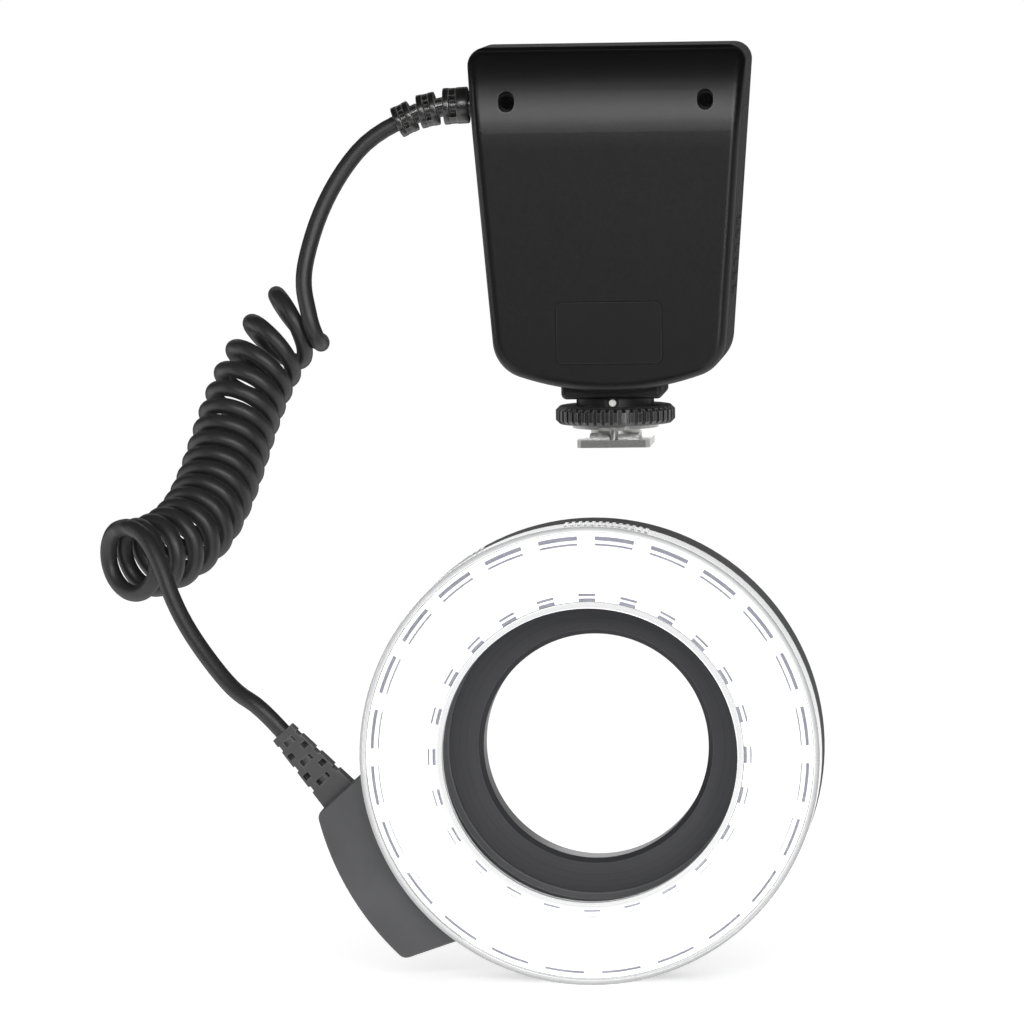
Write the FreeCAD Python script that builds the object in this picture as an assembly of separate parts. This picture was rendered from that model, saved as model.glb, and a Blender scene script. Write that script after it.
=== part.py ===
import FreeCAD, Part
import math
import os

from FreeCAD import Vector

# An LED ring light for close-up pictures: a controller that stands in a hot shoe, a curly cord,
# and a ring-shaped light head that screws to the front of a lens.
# Millimetres. The origin is the middle of the hot shoe foot's underside, +Z is up,
# -Y is the side that faces the subject and +X is on the right seen from there.

# Controller case
case_top = 102.6
case_bottom = 15.0
case_half_width = 35.9
case_depth = 36.0
side_slope = 4.6
bottom_radius = 71.0
top_corner = 4.5
bottom_corner = 10.0
brow_height = 21.6
brow_lip = 2.0
brow_setback = 5.4
brow_bulge_depth = 1.0
front_round = 2.6
rear_round = 3.0
wall = 2.0
seam_depth = 6.5

# Gaps that the fits share
slip_gap = 0.05
running_gap = 0.1
inlay_gap = 0.2
loose_gap = 0.3

# Case screws, the pillar in front of each and the boss behind it
case_screw_x = 25.3
case_screw_drop = 13.7
screw_recess_width = 4.1
screw_recess_height = 5.3
screw_head = 3.4
screw_shank = 2.0
screw_head_height = 1.6
screw_seat_depth = 3.2
screw_reach = 9.0
pillar_radius = 3.6
boss_radius = 3.0
cross_width = 0.4
cross_length = 2.2
cross_depth = 0.7

# Small screws of the foot, its bracket and the ring that keeps the adapter in
small_head = 3.2
small_head_height = 1.0
small_shank = 1.6
slot_length = 2.4
slot_depth = 0.5

# Blank label plate let into the front
label_width = 26.8
label_height = 15.6
label_centre_z = 30.0
label_thickness = 0.5
label_corner = 1.8

# Batteries and their tray
cell_diameter = 14.5
cell_length = 50.5
cell_count = 4
cell_pitch = 14.7
cell_nub_radius = 2.6
cell_nub = 1.0
cell_y = -1.0
cell_gap = 0.1
tray_wall = 1.0
spring_gap = 2.4
spring_diameter = 6.0
spring_wire = 0.6
contact_thickness = 0.5
contact_margin = 1.0
battery_middle = 54.4

# Battery door, which slides down the side of the case
door_thickness = 1.6
door_end_overlap = 2.8
door_side_overlap = 1.05
door_tongue = 1.0
door_tongue_thickness = 0.8
door_gap = 0.15
door_frame = 4.2
door_frame_margin = 3.0
door_frame_edge = 1.35
door_contact_width = 7.0
rib_count = 6
rib_pitch = 3.55
rib_height = 0.45
rib_width = 1.6
rib_root = 0.5
rib_side_margin = 0.8
rib_top_drop = 29.3

# Rear panel, display and buttons
panel_width = 46.0
panel_height = 67.0
panel_drop = 7.6
panel_thickness = 1.0
panel_corner = 3.0
window_width = 36.0
window_height = 19.0
window_drop = 22.6
window_thickness = 1.0
window_corner = 1.5
window_ledge = 1.0
display_margin = 1.0
board_thickness = 1.6
board_clearance = 1.45
board_width = 50.0
board_post_x = 22.0
board_post_radius = 1.5
board_post_low = 5.0
board_post_high = 24.0
board_margin = 1.0
button_diameter = 8.0
button_travel = 0.7
button_proud = 1.3
button_gap = 0.2
button_flange = 1.2
button_flange_edge = 0.8
button_edge_round = 0.5
plunger_radius = 1.5
button_row_drop = 22.0
button_row_pitch = 13.0
button_spacing = 14.0
switch_drop = 45.5
switch_travel = 4.0
switch_length = 8.0
switch_height = 4.6
switch_flange_edge = 1.5
switch_groove_pitch = 1.2
switch_groove_width = 0.6
switch_groove_depth = 0.5
switch_stem = 2.0
lamp_diameter = 3.0
lamp_proud = 0.3
lamp_x = 15.5
lamp_drop = 14.0
tact_size = 6.0
tact_height = 2.6
switch_block_width = 12.0
switch_block_height = 6.0
chip_size = 8.5
chip_thickness = 1.6
chip_x = -16.75
boost_size = 7.0
boost_thickness = 3.4
boost_x = 17.0
chip_drop = 37.6
lead_socket_drop = 3.0
lead_socket_size = 6.0
lead_socket_depth = 4.3
lead_socket_thickness = 3.0
lead_socket_inset = 0.5
lead_diameter = 1.6

# Hot shoe foot
foot_width = 18.6
foot_length = 18.0
foot_thickness = 2.0
foot_chamfer = 1.0
stem_width = 12.5
stem_height = 1.3
post_diameter = 12.7
collar_diameter = 19.9
collar_bottom = 10.4
collar_height = 2.2
neck_width = 26.0
neck_length = 24.0
neck_corner = 1.5
plug_width = 21.8
plug_length = 19.8
wheel_diameter = 30.6
wheel_thickness = 4.5
wheel_ribs = 44
wheel_groove = 1.0
wheel_groove_depth = 0.7
wheel_edge = 1.0
plate_diameter = 22.0
plate_thickness = 1.0
plate_lip_width = 6.5
plate_lip_reach = 13.2
lock_pin_diameter = 2.0
lock_pin_y = -7.6
lock_pin_recess = 0.3
contact_diameter = 2.6
contact_proud = 0.4
contact_travel = 0.8
contact_flange = 1.0
contact_flange_edge = 0.7
contact_floor = 1.2
contact_spring_wire = 0.5
contact_roof = 1.4
dot_diameter = 1.8
dot_well = 3.6
dot_well_depth = 0.6
dot_depth = 1.4
dot_drop = 0.45
plate_screw_x = 4.4
plate_screw_reach = 5.0
bracket_screw_x = 8.5
bracket_screw_y = 7.5
bracket_screw_reach = 4.5
bracket_half_width = 15.0
bracket_thickness = 1.2

# Cord and its two boots
cord_diameter = 4.2
coil_mean_radius = 8.4
coil_pitch = 4.64
coil_open_pitch = 7.2
coil_open_reach = 18.0
coil_lean = 15.0
coil_lean_reach = 22.0
coil_start_turn = 0.0
coil_end_turn = 0.5
case_boot_ribs = [9.4, 8.7, 8.2]
case_boot_rib_lengths = [6.4, 4.7, 4.6]
case_boot_gap = 1.8
case_boot_core = 5.2
case_boot_round = 0.4
case_boot_angles = [3, 12, 25]
boot_stub_radius = 2.9
boot_stub_length = 2.0
boot_flange_edge = 1.6
boot_flange = 1.5
head_boot_small = 6.0
head_boot_large = 9.4
head_boot_depth_small = 5.0
head_boot_depth_large = 6.4
head_boot_slots = 5
head_boot_tip = 2.2
head_boot_end_bar = 1.6
head_boot_slot_share = 0.45
head_boot_window = 0.28
head_boot_notch = 0.33
head_boot_stub_inset = 0.4
head_boot_flange_edge = 0.6
head_boot_flange = 1.5
boot_root_reach = 6.6
socket_distance = 3.6
pod_socket_width = 4.8
pod_socket_length = 3.4
pod_socket_front = 1.6
ring_lead_angle = 205.0
ring_lead_start = 4.5
ring_lead_diameter = 1.4
ring_lead_hole_diameter = 3.2

# Hand-chosen points of the cord, from the boot on the case to the first curl
upper_route = [
    (-54.9, 0.0, 83.3),
    (-61.4, 0.0, 80.27),
    (-69.0, -0.8, 71.7),
    (-75.0, -2.4, 60.8),
    (-78.7, -4.8, 48.6),
    (-79.2, -6.4, 42.0),
    (-77.9, -7.8, 36.2),
]
# Hand-chosen steps of the wires inside the case, counted from the boot's inner end
lead_route = [(1.8, 0.0, 0.0), (2.2, 3.4, -3.4), (1.4, 7.6, -6.6)]
lead_bend_x = 2.2
# Four points that steer the middle line of the curls, top end first
coil_axis = [
    (-79.9, 5.4, 35.2),
    (-105.4, -7.7, 13.9),
    (-91.0, -30.0, -23.5),
    (-120.4, -56.0, -23.6),
]
# Hand-chosen points of the cord, from the last curl to the boot on the light head
lower_route = [
    (-115.2, -64.8, -15.2),
    (-112.5, -67.9, -17.2),
    (-109.0, -70.7, -23.3),
    (-105.9, -73.3, -31.7),
    (-101.4, -76.1, -39.7),
    (-94.6, -79.8, -48.5),
    (-88.8, -83.5, -54.3),
    (-82.9, -87.3, -57.0),
    (-77.3, -87.3, -63.35),
]

# Light head: a ring whose middle is straight under the shoe
head_z = -68.0
head_front = -105.0
head_depth = 25.0
view_margin = 7.4
ring_width = 20.1
head_wall = 1.6
cap_front = 1.8
cap_skirt = 11.3
cap_inner_skirt = 5.0
cap_wall = 1.3
cap_gap = 0.3
rim_tooth = 0.6
rim_tooth_root = 0.5
rim_tooth_width = 0.8
rim_tooth_start = 1.2
rim_tooth_length = 6.8
rim_teeth = [(116.8, 144.2, 1.45), (75.0, 96.5, 1.67)]
led_board_depth = 13.2
led_diameter = 5.0
led_flange = 5.6
led_flange_thickness = 1.0
led_height = 5.6
led_per_ring = 24
led_edge = 3.1
cup_small = 2.75
cup_large = 4.3
reflector_depth = 4.0
standoff_count = 6
standoff_radius = 1.6
standoff_first = 30.0

# Pod on the head's side, where the cord comes in
pod_reach = 13.7
pod_start = 192.6
pod_end = 227.2
pod_start_root = 184.5
pod_end_root = 235.3
pod_root_depth = 0.25
pod_rear_step = 0.6
pod_rear_depth = 7.8
pod_wall = 1.6
pod_corner = 2.5
pod_front_round = 0.6
pod_post_radius = 1.5
pod_post_edge = 7.0
pod_post_height = 1.2
pod_post_start = 12.0
pod_post_end = 10.0

# Ring that screws into the lens, and the ring that keeps it in the head
thread_radius = 29.0
thread_length = 3.5
thread_wall = 1.1
adapter_side_gap = 0.7
adapter_thickness = 3.0
adapter_gap = 0.3
adapter_mouth = 1.2
hub_gap = 1.0
hub_height = 1.6
ledge_thickness = 1.4
ledge_reach = 1.0
keeper_overlap = 1.6
keeper_width = 9.2
keeper_thickness = 1.4
keeper_screw_count = 4
keeper_screw_edge = 2.6
keeper_screw_reach = 4.5
keeper_boss_radius = 2.4
keeper_boss_height = 5.0

# Places that follow from the sizes above
case_front = -case_depth / 2
case_rear = case_depth / 2
seam_y = case_front + seam_depth
brow_start = case_top - brow_height
brow_top = case_top - brow_lip
case_screw_z = case_top - case_screw_drop
battery_height = cell_count * cell_pitch + 2 * cell_gap
door_height = battery_height + 2 * door_end_overlap
door_width = cell_diameter + 2 * door_side_overlap
panel_top = case_top - panel_drop
panel_bottom = panel_top - panel_height
panel_middle = (panel_top + panel_bottom) / 2
window_z = case_top - window_drop
button_row_z = window_z - button_row_drop
button_low_row_z = button_row_z - button_row_pitch
switch_z = window_z - switch_drop
lamp_z = window_z - lamp_drop
chip_z = window_z - chip_drop
lead_socket_z = window_z - lead_socket_drop
board_y = cell_y + cell_diameter / 2 + cell_gap + tray_wall + board_clearance
board_rear = board_y + board_thickness
board_bottom = panel_bottom - board_margin
board_top = panel_top - board_margin
inside_rear = case_rear - wall
collar_top = collar_bottom + collar_height
stem_top = foot_thickness + stem_height
wheel_top = collar_bottom - running_gap
wheel_bottom = wheel_top - wheel_thickness
plate_top = wheel_bottom - running_gap
plate_bottom = plate_top - plate_thickness
head_rear = head_front + head_depth
aperture_radius = thread_radius + view_margin
head_radius = aperture_radius + ring_width
pod_radius = head_radius + pod_reach
housing_bore = aperture_radius + cap_wall + cap_gap
housing_inner = head_radius - cap_wall - cap_gap - head_wall
cap_skirt_end = head_front + cap_skirt
housing_front = head_front + cap_front + cap_gap
led_board_front = head_front + led_board_depth
led_board_rear = led_board_front + board_thickness
outer_led_radius = housing_inner - led_edge
inner_led_radius = housing_bore + head_wall + led_edge
reflector_front = head_front + reflector_depth
pod_rear = head_rear - pod_rear_step
pod_seam = pod_rear - pod_rear_depth
pod_board_rear = pod_rear - pod_wall - pod_post_height
pod_board_front = pod_board_rear - board_thickness
adapter_radius = housing_bore - adapter_side_gap
adapter_bore = thread_radius - thread_wall
adapter_rear = head_rear - adapter_gap
adapter_front = adapter_rear - adapter_thickness
ledge_y = adapter_front - adapter_gap
keeper_bore = adapter_radius - keeper_overlap
keeper_radius = keeper_bore + keeper_width
keeper_rear = head_rear + keeper_thickness
OUT = "parts"
ALONG_Y = Vector(0, 1, 0)
ALONG_Z = Vector(0, 0, 1)


def box(x0, x1, y0, y1, z0, z1):
    return Part.makeBox(x1 - x0, y1 - y0, z1 - z0, Vector(x0, y0, z0))


def rod(radius, start, end):
    start = Vector(*start)
    run = Vector(*end) - start
    return Part.makeCylinder(radius, run.Length, start, run)


def join(shapes):
    whole = shapes[0]
    for shape in shapes[1:]:
        whole = whole.fuse(shape)
    return whole.removeSplitter()


def cut_all(shape, tools):
    for tool in tools:
        shape = shape.cut(tool)
    return shape


def edges_along(shape, way):
    """The straight edges of a shape that lie along a direction."""
    return [e for e in shape.Edges if abs(e.tangentAt(e.FirstParameter).dot(way)) > 0.99]


def slab(width, height, corner, centre_x, centre_z, y0, y1):
    """A plate with round corners that lies across Y, from y0 to y1."""
    half = width / 2
    rise = height / 2
    plate = box(centre_x - half, centre_x + half, y0, y1, centre_z - rise, centre_z + rise)
    return plate.makeFillet(corner, edges_along(plate, ALONG_Y))


def oval(width, height, centre_x, centre_z, y0, y1):
    """An upright slot shape with round ends, from y0 to y1."""
    half = width / 2
    rise = (height - width) / 2
    parts = [box(centre_x - half, centre_x + half, y0, y1, centre_z - rise, centre_z + rise)]
    for z in (centre_z - rise, centre_z + rise):
        parts.append(rod(half, (centre_x, y0, z), (centre_x, y1, z)))
    return join(parts)


def washer(outer, inner, y0, y1):
    """A flat ring about the light head's axis."""
    ring = rod(outer, (0, y0, head_z), (0, y1, head_z))
    return ring.cut(rod(inner, (0, y0 - 1, head_z), (0, y1 + 1, head_z)))


def head_disc(radius):
    """A long disc about the light head's axis, to cut the pod's pieces with."""
    return rod(radius, (0, 2 * head_front, head_z), (0, 0, head_z))


def polar(radius, degrees, y):
    """A point round the light head's axis; the angle runs from +X towards +Z."""
    angle = math.radians(degrees)
    return Vector(radius * math.cos(angle), y, head_z + radius * math.sin(angle))


# The controller's case
def half_width(z):
    """Half the case's width at height z, along its sloping side."""
    return case_half_width - (case_top - z) * math.tan(math.radians(side_slope))


def bottom_height(x, inset=0.0):
    radius = bottom_radius - inset
    return case_bottom + bottom_radius - math.sqrt(radius * radius - x * x)


def case_solid(inset):
    """The outline of the case, drawn in by inset on every side."""
    top = case_top - inset
    in_x = inset / math.cos(math.radians(side_slope))
    foot = half_width(case_bottom) - in_x
    for _ in range(20):
        foot = half_width(bottom_height(foot, inset)) - in_x
    left_foot = Vector(-foot, -case_depth, bottom_height(foot, inset))
    right_foot = Vector(foot, -case_depth, bottom_height(foot, inset))
    lowest = Vector(0, -case_depth, bottom_height(0, inset))
    left_top = Vector(-(half_width(top) - in_x), -case_depth, top)
    right_top = Vector(half_width(top) - in_x, -case_depth, top)
    outline = Part.Wire([
        Part.Arc(left_foot, lowest, right_foot).toShape(),
        Part.LineSegment(right_foot, right_top).toShape(),
        Part.LineSegment(right_top, left_top).toShape(),
        Part.LineSegment(left_top, left_foot).toShape(),
    ])
    prism = Part.Face(outline).extrude(Vector(0, 2 * case_depth, 0))
    middle = (case_top + case_bottom) / 2
    low_edges = [e for e in edges_along(prism, ALONG_Y) if e.CenterOfMass.z < middle]
    prism = prism.makeFillet(bottom_corner - inset, low_edges)
    high_edges = [e for e in edges_along(prism, ALONG_Y) if e.CenterOfMass.z > top - 0.01]
    prism = prism.makeFillet(top_corner - inset, high_edges)
    return prism.common(case_profile(inset))


def case_profile(inset):
    """The side view of the case: flat below, with a brow that leans back to the top edge."""
    front = case_front + inset
    rear = case_rear - inset
    top = case_top - inset
    span = 2 * case_half_width
    brow_end = Vector(-span, front + brow_setback, brow_top - inset)
    brow_foot = Vector(-span, front, brow_start)
    middle = (brow_end + brow_foot) * 0.5
    middle.y -= brow_bulge_depth
    top_front = Vector(-span, brow_end.y + top - brow_end.z, top)
    top_rear = Vector(-span, rear, top)
    low_rear = Vector(-span, rear, 0)
    low_front = Vector(-span, front, 0)
    edges = [
        Part.LineSegment(low_front, brow_foot).toShape(),
        Part.Arc(brow_foot, middle, brow_end).toShape(),
        Part.LineSegment(brow_end, top_front).toShape(),
        Part.LineSegment(top_front, top_rear).toShape(),
        Part.LineSegment(top_rear, low_rear).toShape(),
        Part.LineSegment(low_rear, low_front).toShape(),
    ]
    return Part.Face(Part.Wire(edges)).extrude(Vector(2 * span, 0, 0))


def rounded_case():
    """The case with its front and rear edges rounded."""
    solid = case_solid(0)
    rear_edges = [e for e in solid.Edges if abs(e.CenterOfMass.y - case_rear) < 0.01]
    solid = solid.makeFillet(rear_round, rear_edges)
    brow_edge = case_front + brow_setback - 0.1
    front_edges = []
    for edge in solid.Edges:
        middle = edge.CenterOfMass
        across_brow = abs(middle.x) < 1 and middle.z > brow_start - 1
        if middle.y < brow_edge and not across_brow:
            front_edges.append(edge)
    return solid.makeFillet(front_round, front_edges)


def case_shell():
    return rounded_case().cut(case_solid(wall))


def front_of_seam():
    far = 3 * case_top
    return box(-far, far, -far, seam_y, -far, far)


def tilt(shape):
    """Leans a shape that was made upright so that it lies along the case's sloping side."""
    turned = shape.copy()
    turned.rotate(Vector(side_x(), 0, battery_middle), ALONG_Y, side_slope)
    return turned


def side_x():
    """The case's side where the battery door is, before it is tilted."""
    return half_width(battery_middle)


def brow_face(z):
    """How far forward the front of the case is at height z on the brow."""
    share = (z - brow_start) / (brow_top - brow_start)
    return case_front + brow_setback * share - brow_bulge_depth


def screw_seat_y():
    return brow_face(case_screw_z) + screw_seat_depth


def along_y(radius, x, z, y0, y1):
    """A round bar from y0 to y1 at x and z."""
    return rod(radius, (x, y0, z), (x, y1, z))


def front_shell():
    """The front half of the case with its screw pillars, screw recesses and label recess."""
    shell = case_shell().common(front_of_seam())
    inner = case_solid(wall / 2)
    seat = screw_seat_y()
    for x in (-case_screw_x, case_screw_x):
        pillar = along_y(pillar_radius, x, case_screw_z, case_front, seam_y)
        shell = shell.fuse(pillar.common(inner))
    for x in (-case_screw_x, case_screw_x):
        recess = oval(screw_recess_width, screw_recess_height, x, case_screw_z, case_front - 1, seat)
        hole = along_y(screw_shank / 2 + slip_gap, x, case_screw_z, seat - 1, seam_y + 1)
        shell = shell.cut(recess).cut(hole)
    pocket = slab(
        label_width + 2 * inlay_gap, label_height + 2 * inlay_gap, label_corner + inlay_gap,
        0, label_centre_z, case_front - 1, case_front + label_thickness,
    )
    return shell.cut(plug_opening()).cut(pocket).removeSplitter()


def shell_screws():
    """Two cross-head screws that hold the front half of the case to the rear half."""
    seat = screw_seat_y()
    front = seat - screw_head_height
    screws = []
    for x in (-case_screw_x, case_screw_x):
        top = along_y(screw_head / 2, x, case_screw_z, front, seat)
        for width, height in ((cross_length, cross_width), (cross_width, cross_length)):
            slot = box(
                x - width / 2, x + width / 2, front - 1, front + cross_depth,
                case_screw_z - height / 2, case_screw_z + height / 2,
            )
            top = top.cut(slot)
        shank = along_y(screw_shank / 2, x, case_screw_z, seat, seam_y + screw_reach)
        screws.append(join([top, shank]))
    return Part.makeCompound(screws)


def label_plate():
    return slab(
        label_width, label_height, label_corner,
        0, label_centre_z, case_front, case_front + label_thickness,
    )


def plug_opening():
    """The hole in the case's underside that the foot's plug comes up through."""
    half_x = plug_width / 2 + inlay_gap / 2
    half_y = plug_length / 2 + inlay_gap / 2
    return box(-half_x, half_x, -half_y, half_y, collar_top, plug_top() - 0.01)


def plug_top():
    """The top of the foot's plug, level with the inside of the case where the bracket lies."""
    return bottom_height(bracket_half_width, wall) + slip_gap


def door_frame_block():
    """Thicker wall round the battery door, inside the case."""
    side = side_x()
    reach = door_height / 2 + door_frame_margin
    rear = cell_y + door_width / 2 + door_tongue + door_gap + door_frame_edge
    block = box(side - door_frame, side, seam_y, rear, battery_middle - reach, battery_middle + reach)
    return tilt(block).common(case_solid(0))


def door_recess():
    """What the door and its tongues slide in, open at the lower end, and the hole for the cells."""
    side = side_x()
    top = battery_middle + door_height / 2 + door_gap
    bottom = battery_middle - door_height
    half = door_width / 2 + door_gap
    deep = side - door_thickness - door_gap
    plate_space = box(deep, side + 5, cell_y - half, cell_y + half, bottom, top)
    tongue_half = half + door_tongue
    tongue_space = box(
        deep, side - door_thickness + door_tongue_thickness + door_gap,
        cell_y - tongue_half, cell_y + tongue_half, bottom, top,
    )
    rise = battery_height / 2
    hole = cell_diameter / 2 + cell_gap
    cell_space = box(
        side - door_frame - 1, side, cell_y - hole, cell_y + hole,
        battery_middle - rise, battery_middle + rise,
    )
    return tilt(join([plate_space, tongue_space, cell_space]))


def rear_shell():
    """The rear half of the case: screw bosses, board posts, the door's frame and all its openings."""
    parts = [case_shell().cut(front_of_seam()), door_frame_block()]
    inner = case_solid(wall / 2)
    for x in (-case_screw_x, case_screw_x):
        parts.append(along_y(boss_radius, x, case_screw_z, seam_y, case_rear).common(inner))
    for x in (-board_post_x, board_post_x):
        for z in (board_bottom + board_post_low, board_top - board_post_high):
            parts.append(along_y(board_post_radius, x, z, board_rear, case_rear - wall / 2))
    shell = join(parts)
    for x in (-case_screw_x, case_screw_x):
        hole = along_y(screw_shank / 2 + slip_gap, x, case_screw_z, seam_y - 1, seam_y + screw_reach + 1)
        shell = shell.cut(hole)
    pocket = slab(
        panel_width + inlay_gap, panel_height + inlay_gap, panel_corner,
        0, panel_middle, case_rear - panel_thickness, case_rear + 1,
    )
    half_x = window_width / 2 - window_ledge
    half_z = window_height / 2 - window_ledge
    view = box(-half_x, half_x, inside_rear - 1, case_rear, window_z - half_z, window_z + half_z)
    openings = [door_recess(), plug_opening(), boot_hole(), pocket, view]
    shell = cut_all(shell, openings + control_holes(inside_rear - 1, case_rear))
    return shell.removeSplitter()


def button_places():
    """Name, x and z of each button on the rear."""
    return [
        ("mode", -button_spacing, button_row_z),
        ("minus", 0, button_row_z),
        ("plus", button_spacing, button_row_z),
        ("light", -button_spacing / 2, button_low_row_z),
        ("test", button_spacing / 2, button_low_row_z),
    ]


def control_holes(y0, y1):
    """The holes for the buttons, the lamp and the switch, from y0 to y1."""
    holes = [along_y(button_diameter / 2 + button_gap, x, z, y0, y1) for _, x, z in button_places()]
    holes.append(along_y(lamp_diameter / 2 + inlay_gap / 2, lamp_x, lamp_z, y0, y1))
    half_x = (switch_length + switch_travel) / 2 + button_gap
    half_z = switch_height / 2 + button_gap
    holes.append(box(-half_x, half_x, y0, y1, switch_z - half_z, switch_z + half_z))
    return holes


def rear_panel():
    front = case_rear - panel_thickness
    plate = slab(panel_width, panel_height, panel_corner, 0, panel_middle, front, case_rear)
    opening = slab(
        window_width + inlay_gap, window_height + inlay_gap, window_corner,
        0, window_z, front - 1, case_rear + 1,
    )
    return cut_all(plate, control_holes(front - 1, case_rear + 1) + [opening])


def display_window():
    front = case_rear - window_thickness
    return slab(window_width, window_height, window_corner, 0, window_z, front, case_rear)


def display_module():
    rise = window_height / 2 + display_margin
    half = window_width / 2
    return box(-half, half, board_rear, inside_rear - running_gap, window_z - rise, window_z + rise)


def main_board():
    """The circuit board, with two holes that the case's screw bosses pass through."""
    half = board_width / 2
    board = box(-half, half, board_y, board_rear, board_bottom, board_top)
    for x in (-case_screw_x, case_screw_x):
        board = board.cut(along_y(boss_radius + loose_gap, x, case_screw_z, board_y - 1, board_rear + 1))
    return board


def on_board(centre_x, centre_z, width, height, thickness):
    """A block that lies on the rear face of the circuit board."""
    half = width / 2
    rise = height / 2
    return box(
        centre_x - half, centre_x + half, board_rear, board_rear + thickness,
        centre_z - rise, centre_z + rise,
    )


def tact_switches():
    blocks = [on_board(x, z, tact_size, tact_size, tact_height) for _, x, z in button_places()]
    return Part.makeCompound(blocks)


def button(x, z):
    """A round cap, a flange behind the wall and a plunger that meets its switch when pressed."""
    inside = inside_rear - slip_gap
    outside = case_rear + button_proud
    flange_end = inside - button_flange
    plunger_end = board_rear + tact_height + button_travel + running_gap
    cap = along_y(button_diameter / 2, x, z, inside, outside)
    rim = [e for e in cap.Edges if abs(e.CenterOfMass.y - outside) < 0.01]
    cap = cap.makeFillet(button_edge_round, rim)
    flange = along_y(button_diameter / 2 + button_flange_edge, x, z, flange_end, inside)
    plunger = along_y(plunger_radius, x, z, plunger_end, flange_end)
    return join([cap, flange, plunger])


def power_switch():
    """The sliding knob at its off end, with finger grooves, a flange behind the wall and a stem."""
    start = -switch_travel / 2
    inside = inside_rear - slip_gap
    outside = case_rear + button_proud
    half = switch_length / 2
    low = switch_z - switch_height / 2
    high = switch_z + switch_height / 2
    knob = box(start - half, start + half, inside, outside, low, high)
    for k in range(-2, 3):
        middle = start + k * switch_groove_pitch
        knob = knob.cut(box(
            middle - switch_groove_width / 2, middle + switch_groove_width / 2,
            outside - switch_groove_depth, outside + 1, low - 1, high + 1,
        ))
    edge = half + switch_flange_edge
    flange = box(
        start - edge, start + edge, inside - button_flange, inside,
        low - switch_flange_edge, high + switch_flange_edge,
    )
    stem = box(
        start - switch_stem / 2, start + switch_stem / 2, board_rear + tact_height + running_gap, inside,
        switch_z - switch_stem / 2, switch_z + switch_stem / 2,
    )
    return join([knob, flange, stem])


def switch_block():
    return on_board(0, switch_z, switch_block_width, switch_block_height, tact_height)


def ready_lamp():
    return along_y(lamp_diameter / 2, lamp_x, lamp_z, board_rear, case_rear + lamp_proud)


def control_chip():
    return on_board(chip_x, chip_z, chip_size, chip_size, chip_thickness)


def boost_coil():
    return on_board(boost_x, chip_z, boost_size, boost_size, boost_thickness)


def lead_socket():
    """The socket at the board's left edge, with its plug, that the cord's wires go to."""
    x = lead_socket_x() + lead_socket_depth / 2
    return on_board(x, lead_socket_z, lead_socket_depth, lead_socket_size, lead_socket_thickness)


def lead_socket_x():
    return -board_width / 2 + lead_socket_inset


# Batteries
def cell_end():
    """The cells' right-hand end, just inside the door."""
    return side_x() - door_thickness - cell_gap


def cell_heights():
    first = battery_middle - (cell_count - 1) * cell_pitch / 2
    return [first + k * cell_pitch for k in range(cell_count)]


def along_x(radius, z, x0, x1):
    """A round bar from x0 to x1 at height z in the middle of the cells."""
    return rod(radius, (x0, cell_y, z), (x1, cell_y, z))


def battery_cells():
    """The cells, every second one turned round."""
    right = cell_end()
    left = right - cell_length
    cells = []
    for k, z in enumerate(cell_heights()):
        if k % 2:
            can = along_x(cell_diameter / 2, z, left + cell_nub, right)
            nub = along_x(cell_nub_radius, z, left, left + cell_nub)
        else:
            can = along_x(cell_diameter / 2, z, left, right - cell_nub)
            nub = along_x(cell_nub_radius, z, right - cell_nub, right)
        cells.append(tilt(join([can, nub])))
    return Part.makeCompound(cells)


def tray_left():
    """The face of the contact strip that the springs stand on."""
    return cell_end() - cell_length - spring_gap


def battery_tray():
    """A box round the cells, open towards the door."""
    half_y = cell_diameter / 2 + cell_gap
    half_z = battery_height / 2
    right = side_x() - door_frame
    left = tray_left() - contact_thickness
    outer = box(
        left - tray_wall, right, cell_y - half_y - tray_wall, cell_y + half_y + tray_wall,
        battery_middle - half_z - tray_wall, battery_middle + half_z + tray_wall,
    )
    inner = box(
        left, right + 1, cell_y - half_y, cell_y + half_y,
        battery_middle - half_z, battery_middle + half_z,
    )
    return tilt(outer.cut(inner))


def contact_strip():
    half_y = cell_diameter / 2 - contact_margin
    half_z = battery_height / 2 - contact_margin
    right = tray_left()
    strip = box(
        right - contact_thickness, right, cell_y - half_y, cell_y + half_y,
        battery_middle - half_z, battery_middle + half_z,
    )
    return tilt(strip)


def cell_springs():
    """A pressed spring for each cell, drawn as a short tube."""
    left = tray_left()
    outer = spring_diameter / 2
    springs = []
    for z in cell_heights():
        coil = along_x(outer, z, left, left + spring_gap)
        bore = along_x(outer - spring_wire, z, left - 1, left + spring_gap + 1)
        springs.append(tilt(coil.cut(bore)))
    return Part.makeCompound(springs)


def battery_door():
    """The sliding door: a plate with a tongue along each side and finger ribs."""
    side = side_x()
    inside = side - door_thickness
    half = door_width / 2
    low = battery_middle - door_height / 2
    high = battery_middle + door_height / 2
    plate = box(inside, side, cell_y - half, cell_y + half, low, high)
    reach = half + door_tongue - door_gap
    tongue = box(inside, inside + door_tongue_thickness, cell_y - reach, cell_y + reach, low, high)
    door = tilt(join([plate, tongue])).common(case_solid(0))
    ribs = [finger_rib(high - rib_top_drop - k * rib_pitch) for k in range(rib_count)]
    return join([door] + ribs).cut(door_contacts(inlay_gap / 4))


def finger_rib(z):
    """One rounded rib across the door."""
    side = side_x()
    outside = side + rib_height
    half = door_width / 2 - rib_side_margin
    rise = rib_width / 2
    rib = box(side - rib_root, outside, cell_y - half, cell_y + half, z - rise, z + rise)
    long_edges = [e for e in edges_along(rib, ALONG_Y) if e.CenterOfMass.x > outside - 0.01]
    return tilt(rib.makeFillet(0.9 * rib_height, long_edges))


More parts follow.
